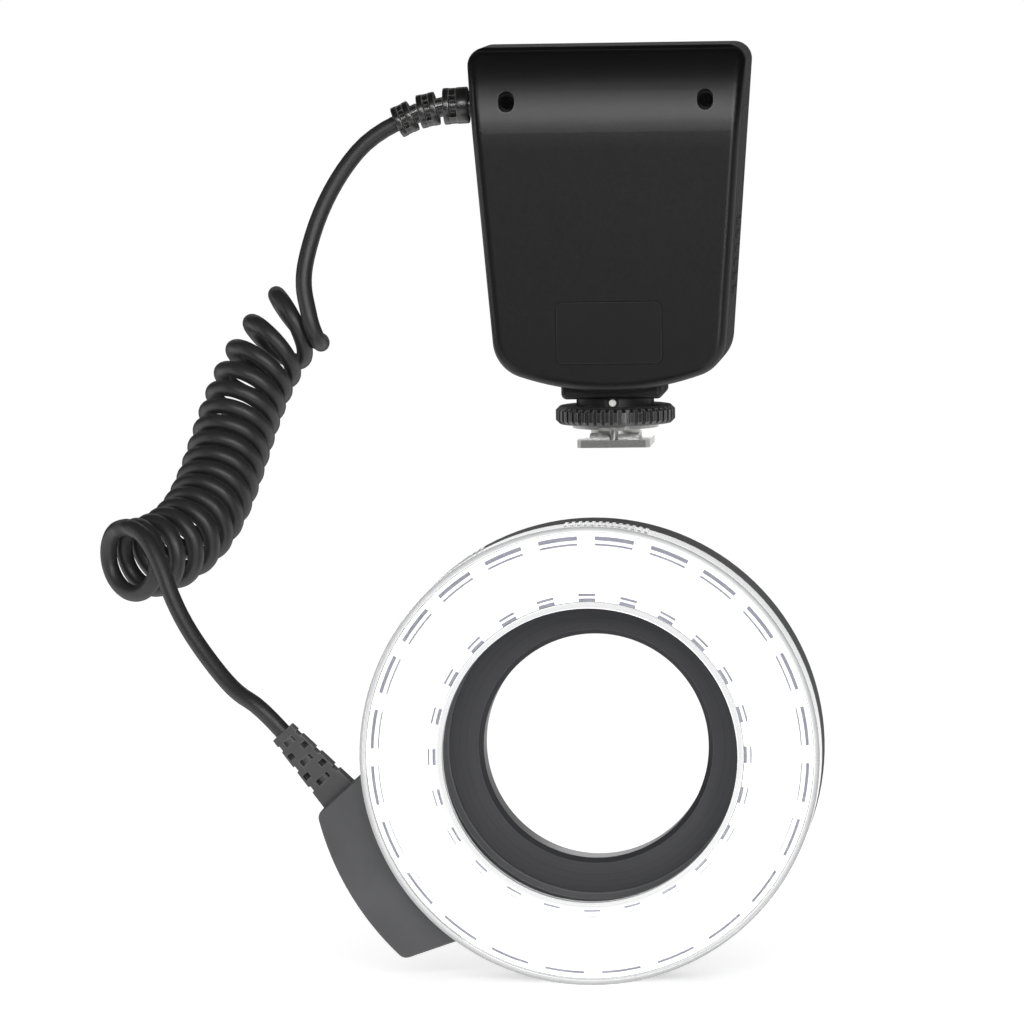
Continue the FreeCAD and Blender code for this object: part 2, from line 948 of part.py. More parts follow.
def door_contacts(grow=0.0):
    """Two strips let into the inside of the door, each joining two cells."""
    inside = side_x() - door_thickness
    half = door_contact_width / 2 + grow
    heights = cell_heights()
    strips = []
    for k in range(0, cell_count - 1, 2):
        low = heights[k] - door_contact_width / 2 - grow
        high = heights[k + 1] + door_contact_width / 2 + grow
        strip = box(inside - grow, inside + contact_thickness, cell_y - half, cell_y + half, low, high)
        strips.append(tilt(strip))
    return Part.makeCompound(strips)


# Hot shoe foot
def foot_block():
    """The neck under the case, its plug inside the case and the round collar above the wheel."""
    half_x = neck_width / 2
    half_y = neck_length / 2
    neck_top = bottom_height(half_x) + neck_corner
    neck = box(-half_x, half_x, -half_y, half_y, collar_top, neck_top)
    low_edges = [e for e in neck.Edges if abs(e.CenterOfMass.z - collar_top) < 0.01]
    neck = neck.makeFillet(neck_corner, low_edges + edges_along(neck, ALONG_Z)).cut(case_solid(0))
    plug = box(-plug_width / 2, plug_width / 2, -plug_length / 2, plug_length / 2, collar_top + 1, plug_top())
    collar = rod(collar_diameter / 2, (0, 0, collar_bottom), (0, 0, collar_top))
    block = join([neck, plug, collar])
    block = block.cut(dot_bar(dot_well / 2, -1, dot_well_depth))
    block = block.cut(dot_bar(dot_diameter / 2 + slip_gap, -1, dot_depth))
    hole = small_shank / 2 + slip_gap
    for x in (-plate_screw_x, plate_screw_x):
        block = block.cut(rod(hole, (x, 0, collar_bottom - 1), (x, 0, collar_bottom + plate_screw_reach + 1)))
    for x, y in bracket_screw_places():
        block = block.cut(rod(hole, (x, y, plug_top() - bracket_screw_reach - 1), (x, y, plug_top() + 1)))
    return block


def dot_bar(radius, start, end):
    """A small bar into the collar's front, from start to end behind its foremost line."""
    front = -collar_diameter / 2
    z = collar_bottom + collar_height / 2
    return rod(radius, (0, front + start, z), (0, front + end, z))


def index_dot():
    return dot_bar(dot_diameter / 2, dot_drop, dot_depth)


def bracket_screw_places():
    xs = (-bracket_screw_x, bracket_screw_x)
    ys = (-bracket_screw_y, bracket_screw_y)
    return [(x, y) for x in xs for y in ys]


def foot_plate():
    """The plate that slides into a hot shoe, with holes for its pin, contact and screws."""
    half_x = foot_width / 2
    half_y = foot_length / 2
    plate = box(-half_x, half_x, -half_y, half_y, 0, foot_thickness)
    corners = [e for e in edges_along(plate, ALONG_Z) if e.CenterOfMass.y < 0]
    plate = plate.makeChamfer(foot_chamfer, corners)
    above = foot_thickness + 1
    holes = [
        rod(contact_diameter / 2 + running_gap, (0, 0, -1), (0, 0, above)),
        rod(lock_pin_diameter / 2 + running_gap, (0, lock_pin_y, -1), (0, lock_pin_y, above)),
    ]
    for x in (-plate_screw_x, plate_screw_x):
        holes.append(rod(small_head / 2 + slip_gap, (x, 0, -1), (x, 0, small_head_height + slip_gap)))
        holes.append(rod(small_shank / 2 + slip_gap, (x, 0, -1), (x, 0, above)))
    return cut_all(plate, holes)


def foot_post():
    """The narrow stem between the shoe's lips and the round post that the wheel turns on."""
    half = stem_width / 2
    stem = box(-half, half, -half, half, foot_thickness, stem_top)
    post = rod(post_diameter / 2, (0, 0, stem_top), (0, 0, collar_bottom))
    whole = join([stem, post])
    floor = foot_thickness + contact_floor
    well = contact_diameter / 2 + contact_flange_edge + inlay_gap
    holes = [
        rod(well, (0, 0, floor), (0, 0, contact_spring_top())),
        rod(contact_diameter / 2 + running_gap, (0, 0, 0), (0, 0, floor + 1)),
    ]
    for x in (-plate_screw_x, plate_screw_x):
        holes.append(rod(small_shank / 2 + slip_gap, (x, 0, 0), (x, 0, collar_bottom + 1)))
    return cut_all(whole, holes)


def contact_flange_z():
    return foot_thickness + contact_floor + slip_gap


def contact_spring_top():
    return collar_bottom - contact_roof


def centre_contact():
    """The sprung pin in the middle of the foot, with the flange that keeps it in."""
    flange_z = contact_flange_z()
    flange_top = flange_z + contact_flange
    pin = rod(contact_diameter / 2, (0, 0, -contact_proud), (0, 0, flange_top))
    tip = [e for e in pin.Edges if e.CenterOfMass.z < 0]
    pin = pin.makeFillet(contact_proud, tip)
    flange = rod(contact_diameter / 2 + contact_flange_edge, (0, 0, flange_z), (0, 0, flange_top))
    return join([pin, flange])


def contact_spring():
    """The spring over the contact, drawn as a tube at its pressed height."""
    low = contact_flange_z() + contact_flange + contact_travel + slip_gap
    top = contact_spring_top()
    outer = contact_diameter / 2 + contact_flange_edge - running_gap
    coil = rod(outer, (0, 0, low), (0, 0, top))
    return coil.cut(rod(outer - contact_spring_wire, (0, 0, low - 1), (0, 0, top + 1)))


def plate_screws():
    """Two slotted screws that hold the foot plate and post to the block above."""
    screws = []
    for x in (-plate_screw_x, plate_screw_x):
        top = rod(small_head / 2, (x, 0, slip_gap), (x, 0, small_head_height + slip_gap))
        slot = box(
            x - slot_length / 2, x + slot_length / 2, -cross_width / 2, cross_width / 2, -1, slot_depth
        )
        end = collar_bottom + plate_screw_reach
        shank = rod(small_shank / 2, (x, 0, small_head_height + slip_gap), (x, 0, end))
        screws.append(join([top.cut(slot), shank]))
    return Part.makeCompound(screws)


def pressure_plate():
    """The disc under the wheel that grips the shoe, with the lip at its front."""
    disc = rod(plate_diameter / 2, (0, 0, plate_bottom), (0, 0, plate_top))
    half = plate_lip_width / 2
    lip = box(-half, half, -plate_lip_reach, 0, plate_bottom, plate_top)
    holes = [
        rod(post_diameter / 2 + 2 * running_gap, (0, 0, 0), (0, 0, plate_top + 1)),
        rod(lock_pin_diameter / 2, (0, lock_pin_y, 0), (0, lock_pin_y, plate_top + 1)),
    ]
    return cut_all(join([disc, lip]), holes)


def lock_pin():
    return rod(lock_pin_diameter / 2, (0, lock_pin_y, lock_pin_recess), (0, lock_pin_y, plate_top))


def lock_wheel():
    """The wheel with upright ribs all round that presses the plate down."""
    radius = wheel_diameter / 2
    wheel = rod(radius, (0, 0, wheel_bottom), (0, 0, wheel_top))
    middle = (wheel_bottom + wheel_top) / 2
    rims = [e for e in wheel.Edges if abs(e.CenterOfMass.z - middle) > wheel_thickness / 4]
    wheel = wheel.makeChamfer(wheel_edge, rims)
    grooves = []
    for k in range(wheel_ribs):
        groove = box(
            radius - wheel_groove_depth, radius + 1, -wheel_groove / 2, wheel_groove / 2,
            wheel_bottom - 1, wheel_top + 1,
        )
        groove.rotate(Vector(0, 0, 0), ALONG_Z, k * 360 / wheel_ribs)
        grooves.append(groove)
    wheel = wheel.cut(Part.makeCompound(grooves))
    bore = post_diameter / 2 + running_gap
    return wheel.cut(rod(bore, (0, 0, wheel_bottom - 1), (0, 0, wheel_top + 1)))


def foot_bracket():
    """The steel plate inside the case that the foot hangs from."""
    low = plug_top()
    half_y = plug_length / 2 - 1
    plate = box(-bracket_half_width, bracket_half_width, -half_y, half_y, low, low + bracket_thickness)
    hole = small_shank / 2 + inlay_gap
    return cut_all(plate, [rod(hole, (x, y, low - 1), (x, y, low + 3)) for x, y in bracket_screw_places()])


def bracket_screws():
    low = plug_top()
    seat = low + bracket_thickness
    screws = []
    for x, y in bracket_screw_places():
        shank = rod(small_shank / 2, (x, y, low - bracket_screw_reach), (x, y, seat))
        top = rod(small_head / 2, (x, y, seat), (x, y, seat + small_head_height))
        screws.append(join([shank, top]))
    return Part.makeCompound(screws)


# Cord, its boots and its curls
def case_boot_runs():
    """Start, direction and length of each stretch of the case's boot, from the case outwards."""
    runs = []
    end = Vector(*upper_route[0])
    for angle, length in zip(reversed(case_boot_angles), reversed(case_boot_rib_lengths)):
        turn = math.radians(angle)
        way = Vector(-math.cos(turn), 0, -math.sin(turn))
        if runs:
            length += case_boot_gap
        end = end - way * length
        runs.append((end, way, length))
    runs.reverse()
    return runs


def boot_root():
    """Where the middle of the case's boot starts, inside the case's wall."""
    return case_boot_runs()[0][0]


def boot_hole():
    root = boot_root()
    reach = Vector(3 * wall, 0, 0)
    return rod(boot_stub_radius + running_gap, tuple(root - reach), tuple(root + reach))


def case_wall_inside(z):
    """The inner face of the case's left wall at height z."""
    return -(half_width(z) - wall / math.cos(math.radians(side_slope)))


def boot_end():
    """The inner end of the case's boot, where the wires come out."""
    root = boot_root()
    return Vector(case_wall_inside(root.z) + boot_stub_length, root.y, root.z)


def case_boot():
    """Three ribs on a bendy core, and a flange inside the case."""
    pieces = []
    core = case_boot_core / 2
    sizes = zip(case_boot_ribs, case_boot_rib_lengths, case_boot_runs())
    for diameter, rib_length, (start, way, length) in sizes:
        pieces.append(Part.makeCylinder(core, length, start, way))
        rib = Part.makeCylinder(diameter / 2, rib_length, start, way)
        pieces.append(rib.makeFillet(case_boot_round, [e for e in rib.Edges if e.Length > 3 * diameter]))
        pieces.append(Part.makeSphere(core, start + way * (rib_length + case_boot_gap / 2)))
    outside = join(pieces).cut(case_solid(0))
    outside = max(outside.Solids, key=lambda solid: solid.Volume)
    root = boot_root()
    end = boot_end()
    stub = rod(boot_stub_radius, (root.x - boot_stub_length, root.y, root.z), tuple(end))
    flange_start = (case_wall_inside(root.z) - boot_flange, root.y, root.z)
    flange = rod(boot_stub_radius + boot_flange_edge, flange_start, tuple(end))
    flange = flange.common(case_solid(wall + slip_gap))
    last_start, last_way, last_length = case_boot_runs()[-1]
    reach = 4 * case_boot_core
    beyond = Part.makeBox(reach, reach, reach, Vector(-reach / 2, -reach / 2, 0))
    turn = FreeCAD.Rotation(ALONG_Z, last_way)
    beyond.Placement = FreeCAD.Placement(last_start + last_way * last_length, turn)
    return join([outside, stub, flange]).cut(beyond)


def soft_path(points, label):
    """Straight runs joined by tangent arcs, each as large as its two runs allow."""
    points = [Vector(*p) for p in points]
    edges = []
    radii = []
    here = points[0]
    for before, corner, after in zip(points, points[1:], points[2:]):
        back = before - corner
        ahead = after - corner
        reach = 0.45 * min(back.Length, ahead.Length)
        back.normalize()
        ahead.normalize()
        half_turn = (math.pi - back.getAngle(ahead)) / 2
        radius = reach / math.tan(half_turn)
        start = corner + back * reach
        end = corner + ahead * reach
        inward = (back + ahead).normalize()
        middle = corner + inward * (radius / math.cos(half_turn) - radius)
        edges.append(Part.LineSegment(here, start).toShape())
        edges.append(Part.Arc(start, middle, end).toShape())
        radii.append(round(radius, 1))
        here = end
    edges.append(Part.LineSegment(here, points[-1]).toShape())
    print(label, "arc radii", radii)
    return Part.Wire(edges)


def tube(path, diameter, label):
    """A round tube along a path; its volume is compared with its section times its length."""
    start = path.Edges[0]
    way = start.tangentAt(start.FirstParameter)
    ring = Part.Wire(Part.makeCircle(diameter / 2, start.valueAt(start.FirstParameter), way))
    shell = Part.BRepOffsetAPI.MakePipeShell(path)
    shell.add(ring)
    shell.build()
    shell.makeSolid()
    solid = shell.shape()
    share = solid.Volume / (path.Length * math.pi * diameter ** 2 / 4)
    print(label, "length", round(path.Length, 1), "volume over section times length", round(share, 4))
    return solid


def axis_point(t):
    """A point on the curls' middle line; t runs from 0 at its top end to 1."""
    s = 1 - t
    weights = (s ** 3, 3 * t * s ** 2, 3 * t ** 2 * s, t ** 3)
    return sum((Vector(*p) * w for p, w in zip(coil_axis, weights)), Vector())


def axis_way(t):
    small = 1e-4
    return (axis_point(t + small) - axis_point(t - small)).normalize()


def turns_along_axis():
    """How many turns the wire has made after each small step along the curls' middle line."""
    steps = 2000
    made = [0.0]
    travelled = 0.0
    for k in range(1, steps + 1):
        t = k / steps
        step = (axis_point(t) - axis_point(t - 1 / steps)).Length
        bend = (axis_way(t) - axis_way(t - 1 / steps)).Length / step
        travelled += step
        opening = (coil_open_pitch - coil_pitch) * math.exp(-(travelled / coil_open_reach) ** 2)
        made.append(made[-1] + step * (1 - coil_mean_radius * bend) / (coil_pitch + opening))
    return made


def curl_point(t, turn):
    """A point on the wire's middle line, which winds to the left and leans over at the top end."""
    way = axis_way(t)
    side = way.cross(ALONG_Y).normalize()
    travelled = (axis_point(t) - axis_point(0)).Length
    lean = math.radians(coil_lean) * math.exp(-(travelled / coil_lean_reach) ** 2)
    upright = way
    way = upright * math.cos(lean) - side * math.sin(lean)
    side = side * math.cos(lean) + upright * math.sin(lean)
    behind = side.cross(way)
    angle = 2 * math.pi * turn
    reach = side * math.cos(angle) + behind * math.sin(angle)
    return axis_point(t) + reach * coil_mean_radius


def curl_points():
    """Points of the helix every quarter turn, each with the wire's direction, and the turns made."""
    made = turns_along_axis()
    whole = math.floor(made[-1] - coil_end_turn) + coil_end_turn
    stretch = whole / made[-1]
    steps = len(made) - 1
    turns = whole - coil_start_turn
    count = round(4 * turns)
    points = []
    for i in range(count + 1):
        turn = coil_start_turn + turns * i / count
        k = next((n for n in range(steps) if made[n + 1] * stretch >= turn), steps - 1)
        rate = made[k + 1] - made[k]
        t = (k + (turn / stretch - made[k]) / rate) / steps
        small = 1e-4
        onward = small * rate * stretch * steps
        way = curl_point(t + small, turn + onward) - curl_point(t - small, turn - onward)
        points.append((curl_point(t, turn), way.normalize()))
    return points, turns


def arc_from(start, way, end):
    """The arc that leaves start along way and reaches end, and its radius."""
    chord = end - start
    off = chord - way * chord.dot(way)
    radius = chord.dot(chord) / (2 * off.Length)
    centre = start + off.normalize() * radius
    outward = ((start + end) * 0.5 - centre).normalize()
    if chord.dot(way) < 0:
        outward = -outward
    return Part.Arc(start, centre + outward * radius, end).toShape(), radius


def biarc(start, way, end, end_way):
    """Two arcs that leave start along way, meet smoothly and reach end along end_way."""
    chord = end - start
    a = 2 * (way.dot(end_way) - 1)
    b = -2 * chord.dot(way + end_way)
    c = chord.dot(chord)
    if abs(a) < 1e-9:
        reach = -c / b
    else:
        reach = (-b - math.sqrt(b * b - 4 * a * c)) / (2 * a)
    first = start + way * reach
    second = end - end_way * reach
    middle = (first + second) * 0.5
    one, radius_one = arc_from(start, way, middle)
    two, radius_two = arc_from(middle, (second - first).normalize(), end)
    return [one, two], min(radius_one, radius_two)


def coil_path():
    """The whole curly stretch: a straight end, the curls and a straight end."""
    curls, turns = curl_points()
    first = Vector(*upper_route[-1])
    first_way = (first - Vector(*upper_route[-2])).normalize()
    last = Vector(*lower_route[0])
    last_way = (Vector(*lower_route[1]) - last).normalize()
    stops = [(first + first_way * cord_diameter, first_way)]
    stops += curls
    stops.append((last - last_way * cord_diameter, last_way))
    edges = [Part.LineSegment(first, stops[0][0]).toShape()]
    tightest = math.inf
    for (start, way), (end, end_way) in zip(stops, stops[1:]):
        arcs, radius = biarc(start, way, end, end_way)
        edges.extend(arcs)
        tightest = min(tightest, radius)
    edges.append(Part.LineSegment(stops[-1][0], last).toShape())
    gap = least_gap(edges)
    print("curls", round(turns, 2), "tightest arc", round(tightest, 2), "least gap", round(gap, 2))
    return Part.Wire(edges)


def least_gap(edges):
    """The least space between the wire and itself, measured on points of its middle line."""
    points = []
    for edge in edges:
        count = max(2, int(edge.Length / 0.6))
        span = edge.LastParameter - edge.FirstParameter
        points.extend(edge.valueAt(edge.FirstParameter + span * k / count) for k in range(count))
    run = [0.0]
    for here, there in zip(points, points[1:]):
        run.append(run[-1] + (there - here).Length)
    apart = 5 * cord_diameter
    least = math.inf
    for i, point in enumerate(points):
        for j in range(i + 1, len(points)):
            if run[j] - run[i] > apart:
                least = min(least, point.distanceToPoint(points[j]))
    return least - cord_diameter


# Boot on the light head
def pod_corner_point(angle):
    """A corner where one of the pod's sides meets the ring."""
    return polar(head_radius - pod_root_depth, angle, 0)


def head_boot_root():
    """The middle of the pod's top edge, where the boot comes out."""
    tip = polar(pod_radius, pod_start, 0)
    way = (tip - pod_corner_point(pod_start_root)).normalize()
    middle = tip - way * boot_root_reach
    return Vector(middle.x, lower_route[-1][1], middle.z)


def head_boot_run():
    return head_boot_root() - Vector(*lower_route[-1])


def place_boot(shape):
    """Moves a shape that was made along +Z from the cord's end so that it lies along the boot."""
    run = head_boot_run()
    turn = math.degrees(math.atan2(run.x, run.z))
    placed = shape.copy()
    placed.Placement = FreeCAD.Placement(Vector(*lower_route[-1]), FreeCAD.Rotation(ALONG_Y, turn))
    return placed


def boot_section(width, depth, z):
    x = width / 2
    y = depth / 2
    corners = [Vector(-x, -y, z), Vector(x, -y, z), Vector(x, y, z), Vector(-x, y, z)]
    return Part.makePolygon(corners + corners[:1])


def boot_slots(length):
    """Slots through the boot, by turns in its middle and in its two edges."""
    pitch = (length - head_boot_tip - head_boot_end_bar) / head_boot_slots
    deep = head_boot_depth_large
    slots = []
    for k in range(head_boot_slots):
        low = head_boot_tip + k * pitch
        high = low + pitch * head_boot_slot_share
        width = head_boot_small + (head_boot_large - head_boot_small) * low / length
        if k % 2:
            inner = width * head_boot_notch
            slots.append(box(inner, width, -deep, deep, low, high))
            slots.append(box(-width, -inner, -deep, deep, low, high))
        else:
            half = width * head_boot_window
            slots.append(box(-half, half, -deep, deep, low, high))
    return Part.makeCompound(slots)


def head_boot():
    """A flat tapering boot with slots that let it bend, and a flange inside the pod."""
    length = head_boot_run().Length
    body = Part.makeLoft([
        boot_section(head_boot_small, head_boot_depth_small, 0),
        boot_section(head_boot_large, head_boot_depth_large, length),
    ], True, True)
    core = rod(cord_diameter / 2 - running_gap, (0, 0, 0), (0, 0, length))
    body = place_boot(join([body.cut(boot_slots(length)), core]))
    body = body.cut(pod_block(pod_front(), pod_rear))
    half_x = head_boot_large / 2
    half_y = head_boot_depth_large / 2
    inset = head_boot_stub_inset
    stub_end = length + pod_wall + 0.5
    stub = box(-half_x + inset, half_x - inset, -half_y + inset, half_y - inset, length - 0.5, stub_end)
    edge = half_x + head_boot_flange_edge
    flange = box(-edge, edge, -half_y, half_y, boot_flange_start(), boot_flange_end())
    return join([body, place_boot(join([stub, flange]))])


def boot_flange_start():
    """How far along the boot the flange inside the pod starts."""
    return head_boot_run().Length + pod_wall + inlay_gap


def boot_flange_end():
    return boot_flange_start() + head_boot_flange


def boot_slot():
    """The hole in the pod's top wall for the boot's stub."""
    length = head_boot_run().Length
    inset = head_boot_stub_inset - running_gap
    half_x = head_boot_large / 2 - inset
    half_y = head_boot_depth_large / 2 - inset
    return place_boot(box(-half_x, half_x, -half_y, half_y, length - 2, length + pod_wall + 2))


def controller_leads():
    """The insulated wires from the boot to the socket on the board, drawn as one bundle."""
    start = boot_end()
    y = board_rear + lead_socket_thickness / 2
    points = [tuple(start)] + [tuple(start + Vector(*step)) for step in lead_route]
    points += [(start.x + lead_bend_x, y, lead_socket_z), (lead_socket_x(), y, lead_socket_z)]
    return tube(soft_path(points, "controller leads"), lead_diameter, "controller leads")


# Light head
def beside(point, other, keep, shift):
    """A big block on keep's side of the line through two points, shift away from that line."""
    along = (other - point).normalize()
    across = Vector(-along.z, 0, along.x)
    if (keep - point).dot(across) < 0:
        across = -across
    size = 6 * pod_radius
    block = Part.makeBox(size, size, size, Vector(-size / 2, -size / 2, 0))
    block.Placement = FreeCAD.Placement(point + across * shift, FreeCAD.Rotation(ALONG_Z, across))
    return block


def from_axis(edge):
    """How far the middle of an edge lies from the light head's axis."""
    middle = edge.CenterOfMass
    return math.hypot(middle.x, middle.z - head_z)


def pod_block(y0, y1, shrink=0.0):
    """The pod's outline, drawn in by shrink, from y0 to y1."""
    middle = polar(pod_radius, (pod_start + pod_end) / 2, 0)
    block = rod(pod_radius - shrink, (0, y0, head_z), (0, y1, head_z))
    block = block.common(beside(Vector(0, 0, head_z), Vector(0, 0, 0), middle, aperture_radius / 2))
    for root, angle in ((pod_start_root, pod_start), (pod_end_root, pod_end)):
        tip = polar(pod_radius, angle, 0)
        block = block.common(beside(pod_corner_point(root), tip, middle, shrink))
    block = block.cut(head_disc(housing_inner + 0.4))
    if not shrink:
        outer = [e for e in edges_along(block, ALONG_Y) if from_axis(e) > pod_radius - 0.1]
        block = block.makeFillet(pod_corner, outer)
    return block


def pod_front():
    return cap_skirt_end + cap_gap


def head_housing():
    """The ring's rear part: its floor, outer and inner walls, ledge, posts and half of the pod."""
    floor = head_rear - head_wall
    pieces = [
        washer(head_radius, housing_bore, floor, head_rear),
        washer(head_radius, housing_inner, pod_front(), floor),
        washer(housing_inner + head_wall, housing_inner, housing_front, pod_front()),
        washer(housing_bore + head_wall, housing_bore, housing_front, floor),
        washer(housing_bore + 0.1, adapter_radius - ledge_reach, ledge_y - ledge_thickness, ledge_y),
    ]
    middle = (outer_led_radius + inner_led_radius) / 2
    for k in range(standoff_count):
        spot = polar(middle, standoff_first + k * 360 / standoff_count, 0)
        pieces.append(along_y(standoff_radius, spot.x, spot.z, led_board_rear, floor))
    for spot in keeper_screw_spots():
        pieces.append(along_y(keeper_boss_radius, spot.x, spot.z, head_rear - keeper_boss_height, floor))
    pieces.append(pod_base())
    holes = [boot_slot(), ring_lead_hole()]
    for spot in keeper_screw_spots():
        low = head_rear - head_wall - keeper_screw_reach - loose_gap
        holes.append(along_y(small_shank / 2 + slip_gap, spot.x, spot.z, low, head_rear + 1))
    return cut_all(join(pieces), holes)


def pod_base():
    """The rear half of the pod, hollow, with two posts for its board."""
    base = pod_block(pod_seam, pod_rear).cut(head_disc(housing_inner))
    space = pod_block(pod_seam - 1, pod_rear - pod_wall, pod_wall).cut(head_disc(head_radius))
    parts = [base.cut(space)]
    for angle in (pod_start + pod_post_start, pod_end - pod_post_end):
        spot = polar(pod_radius - pod_post_edge, angle, 0)
        parts.append(along_y(pod_post_radius, spot.x, spot.z, pod_board_rear, pod_rear - pod_wall))
    return join(parts)


def pod_cover():
    """The front half of the pod, with rounded front edges."""
    front = pod_front()
    cover = pod_block(front, pod_seam).cut(head_disc(head_radius + running_gap))
    front_edges = [e for e in cover.Edges if abs(e.CenterOfMass.y - front) < 0.01]
    edges = [e for e in front_edges if from_axis(e) > head_radius + pod_wall]
    cover = cover.makeFillet(pod_front_round, edges)
    space = pod_block(front + pod_wall, pod_seam + 1, pod_wall).cut(head_disc(head_radius + pod_wall))
    return cover.cut(space).cut(boot_slot())


def pod_board():
    board = pod_block(pod_board_front, pod_board_rear, pod_wall + loose_gap)
    board = board.cut(head_disc(head_radius + loose_gap))
    half_x = head_boot_large / 2 + head_boot_flange_edge + loose_gap
    half_y = head_boot_depth_large / 2 + loose_gap
    low = boot_flange_start() - loose_gap
    high = boot_flange_end() + loose_gap
    space = box(-half_x, half_x, -half_y, half_y, low, high)
    return board.cut(place_boot(space))


def pod_socket():
    """The socket on the pod's board that the cord's wires are plugged into."""
    low = head_boot_run().Length + pod_wall + socket_distance
    rear = pod_board_front - lower_route[-1][1]
    half = pod_socket_width / 2
    return place_boot(box(-half, half, -pod_socket_front, rear, low, low + pod_socket_length))


def head_leads():
    """The wires between the boot and the pod's socket, drawn as one bundle."""
    end = head_boot_run().Length + pod_wall + socket_distance
    return place_boot(rod(lead_diameter / 2, (0, 0, boot_flange_end()), (0, 0, end)))


def ring_lead_ends():
    outside_y = pod_board_front - ring_lead_diameter / 2 - running_gap
    inside_y = led_board_rear + ring_lead_diameter / 2 + running_gap
    outside = polar(head_radius + ring_lead_start, ring_lead_angle, outside_y)
    inside = polar((outer_led_radius + inner_led_radius) / 2, ring_lead_angle, inside_y)
    return outside, inside


def ring_lead_hole():
    outside, inside = ring_lead_ends()
    way = (inside - outside).normalize()
    length = ring_lead_start + head_radius - housing_inner + ring_lead_hole_diameter / 2
    return Part.makeCylinder(ring_lead_hole_diameter / 2, length, outside, way)


def ring_leads():
    """The pair of wires from the pod's board to the board with the lights."""
    outside, inside = ring_lead_ends()
    return rod(ring_lead_diameter / 2, tuple(outside), tuple(inside))


def led_board():
    outer = housing_inner - inlay_gap
    return washer(outer, housing_bore + head_wall + inlay_gap, led_board_front, led_board_rear)


def leds(radius, first_angle):
    """A ring of round lights with a flange at the board and a domed front."""
    seat = led_board_front - led_flange_thickness
    shoulder = led_board_front - led_height + led_diameter / 2
    lights = []
    for k in range(led_per_ring):
        base = polar(radius, first_angle + k * 360 / led_per_ring, 0)
        flange = along_y(led_flange / 2, base.x, base.z, seat, led_board_front)
        body = along_y(led_diameter / 2, base.x, base.z, shoulder, seat)
        dome = Part.makeSphere(led_diameter / 2, Vector(base.x, shoulder, base.z))
        lights.append(join([flange, body, dome]))
    return Part.makeCompound(lights)


def led_spots():
    """Every light's middle: the outer ring's, then the inner ring's half a step round."""
    step = 360 / led_per_ring
    spots = [polar(outer_led_radius, k * step, 0) for k in range(led_per_ring)]
    return spots + [polar(inner_led_radius, (k + 0.5) * step, 0) for k in range(led_per_ring)]


def reflector():
    """A white ring with a tapering cup round each light."""
    floor = led_board_front - led_flange_thickness - slip_gap
    ring = washer(housing_inner - inlay_gap, housing_bore + head_wall + inlay_gap, reflector_front, floor)
    depth = floor - reflector_front + 0.02
    cups = []
    for spot in led_spots():
        start = Vector(spot.x, floor + 0.01, spot.z)
        cups.append(Part.makeCone(cup_small, cup_large, depth, start, -ALONG_Y))
    return ring.cut(Part.makeCompound(cups))


def diffuser_cap():
    """The clear cover that snaps over the lights, with grip teeth on its rim."""
    cap = join([
        washer(head_radius, aperture_radius, head_front, head_front + cap_front),
        washer(head_radius, head_radius - cap_wall, head_front, cap_skirt_end),
        washer(aperture_radius + cap_wall, aperture_radius, head_front, head_front + cap_inner_skirt),
    ])
    low = head_front + rim_tooth_start
    high = low + rim_tooth_length
    half = rim_tooth_width / 2
    root = head_radius - rim_tooth_root
    teeth = []
    for first, last, step in rim_teeth:
        for k in range(int((last - first) / step) + 1):
            tooth = box(root, head_radius + rim_tooth, low, high, -half, half)
            tooth.rotate(Vector(0, 0, 0), ALONG_Y, -(first + k * step))
            tooth.translate(Vector(0, 0, head_z))
            teeth.append(tooth)
    return cap.fuse(teeth).removeSplitter()


def adapter_ring():
    """The disc that turns in the head, its hub and the thread that screws into the lens."""
    hub_end = keeper_rear + hub_height
    ring = join([
        washer(adapter_radius, adapter_bore, adapter_front, adapter_rear),
        washer(keeper_bore - hub_gap, adapter_bore, adapter_rear, hub_end),
        washer(thread_radius, adapter_bore, hub_end, hub_end + thread_length),
    ])
    start = Vector(0, adapter_front, head_z)
    return ring.cut(Part.makeCone(adapter_bore + adapter_mouth, adapter_bore, adapter_mouth, start, ALONG_Y))


def keeper_screw_spots():
    radius = keeper_radius - keeper_screw_edge
    return [polar(radius, 45 + k * 360 / keeper_screw_count, 0) for k in range(keeper_screw_count)]


def keeper_ring():
    """The flat ring on the rear that keeps the adapter ring in the head."""
    ring = washer(keeper_radius, keeper_bore, head_rear, keeper_rear)
    for spot in keeper_screw_spots():
        ring = ring.cut(along_y(small_shank / 2 + inlay_gap, spot.x, spot.z, head_rear - 1, keeper_rear + 1))
    return ring


def keeper_screws():
    """Four slotted screws with their heads on the keeper ring."""
    end = keeper_rear + small_head_height
    tip = head_rear - head_wall - keeper_screw_reach
    screws = []
    for spot in keeper_screw_spots():
        top = along_y(small_head / 2, spot.x, spot.z, keeper_rear, end)
        slot = box(
            spot.x - slot_length / 2, spot.x + slot_length / 2, end - slot_depth, end + 1,
            spot.z - cross_width / 2, spot.z + cross_width / 2,
        )
        shank = along_y(small_shank / 2, spot.x, spot.z, tip, keeper_rear)
        screws.append(join([top.cut(slot), shank]))
    return Part.makeCompound(screws)


def save(name, shape):
    count = len(shape.Solids)
    note = "" if shape.isValid() and count else "  NOT VALID"
    print(f"{name}: {count} solid(s), {shape.Volume:.1f} mm3{note}")
    shape.exportStep(os.path.join(OUT, name + ".step"))


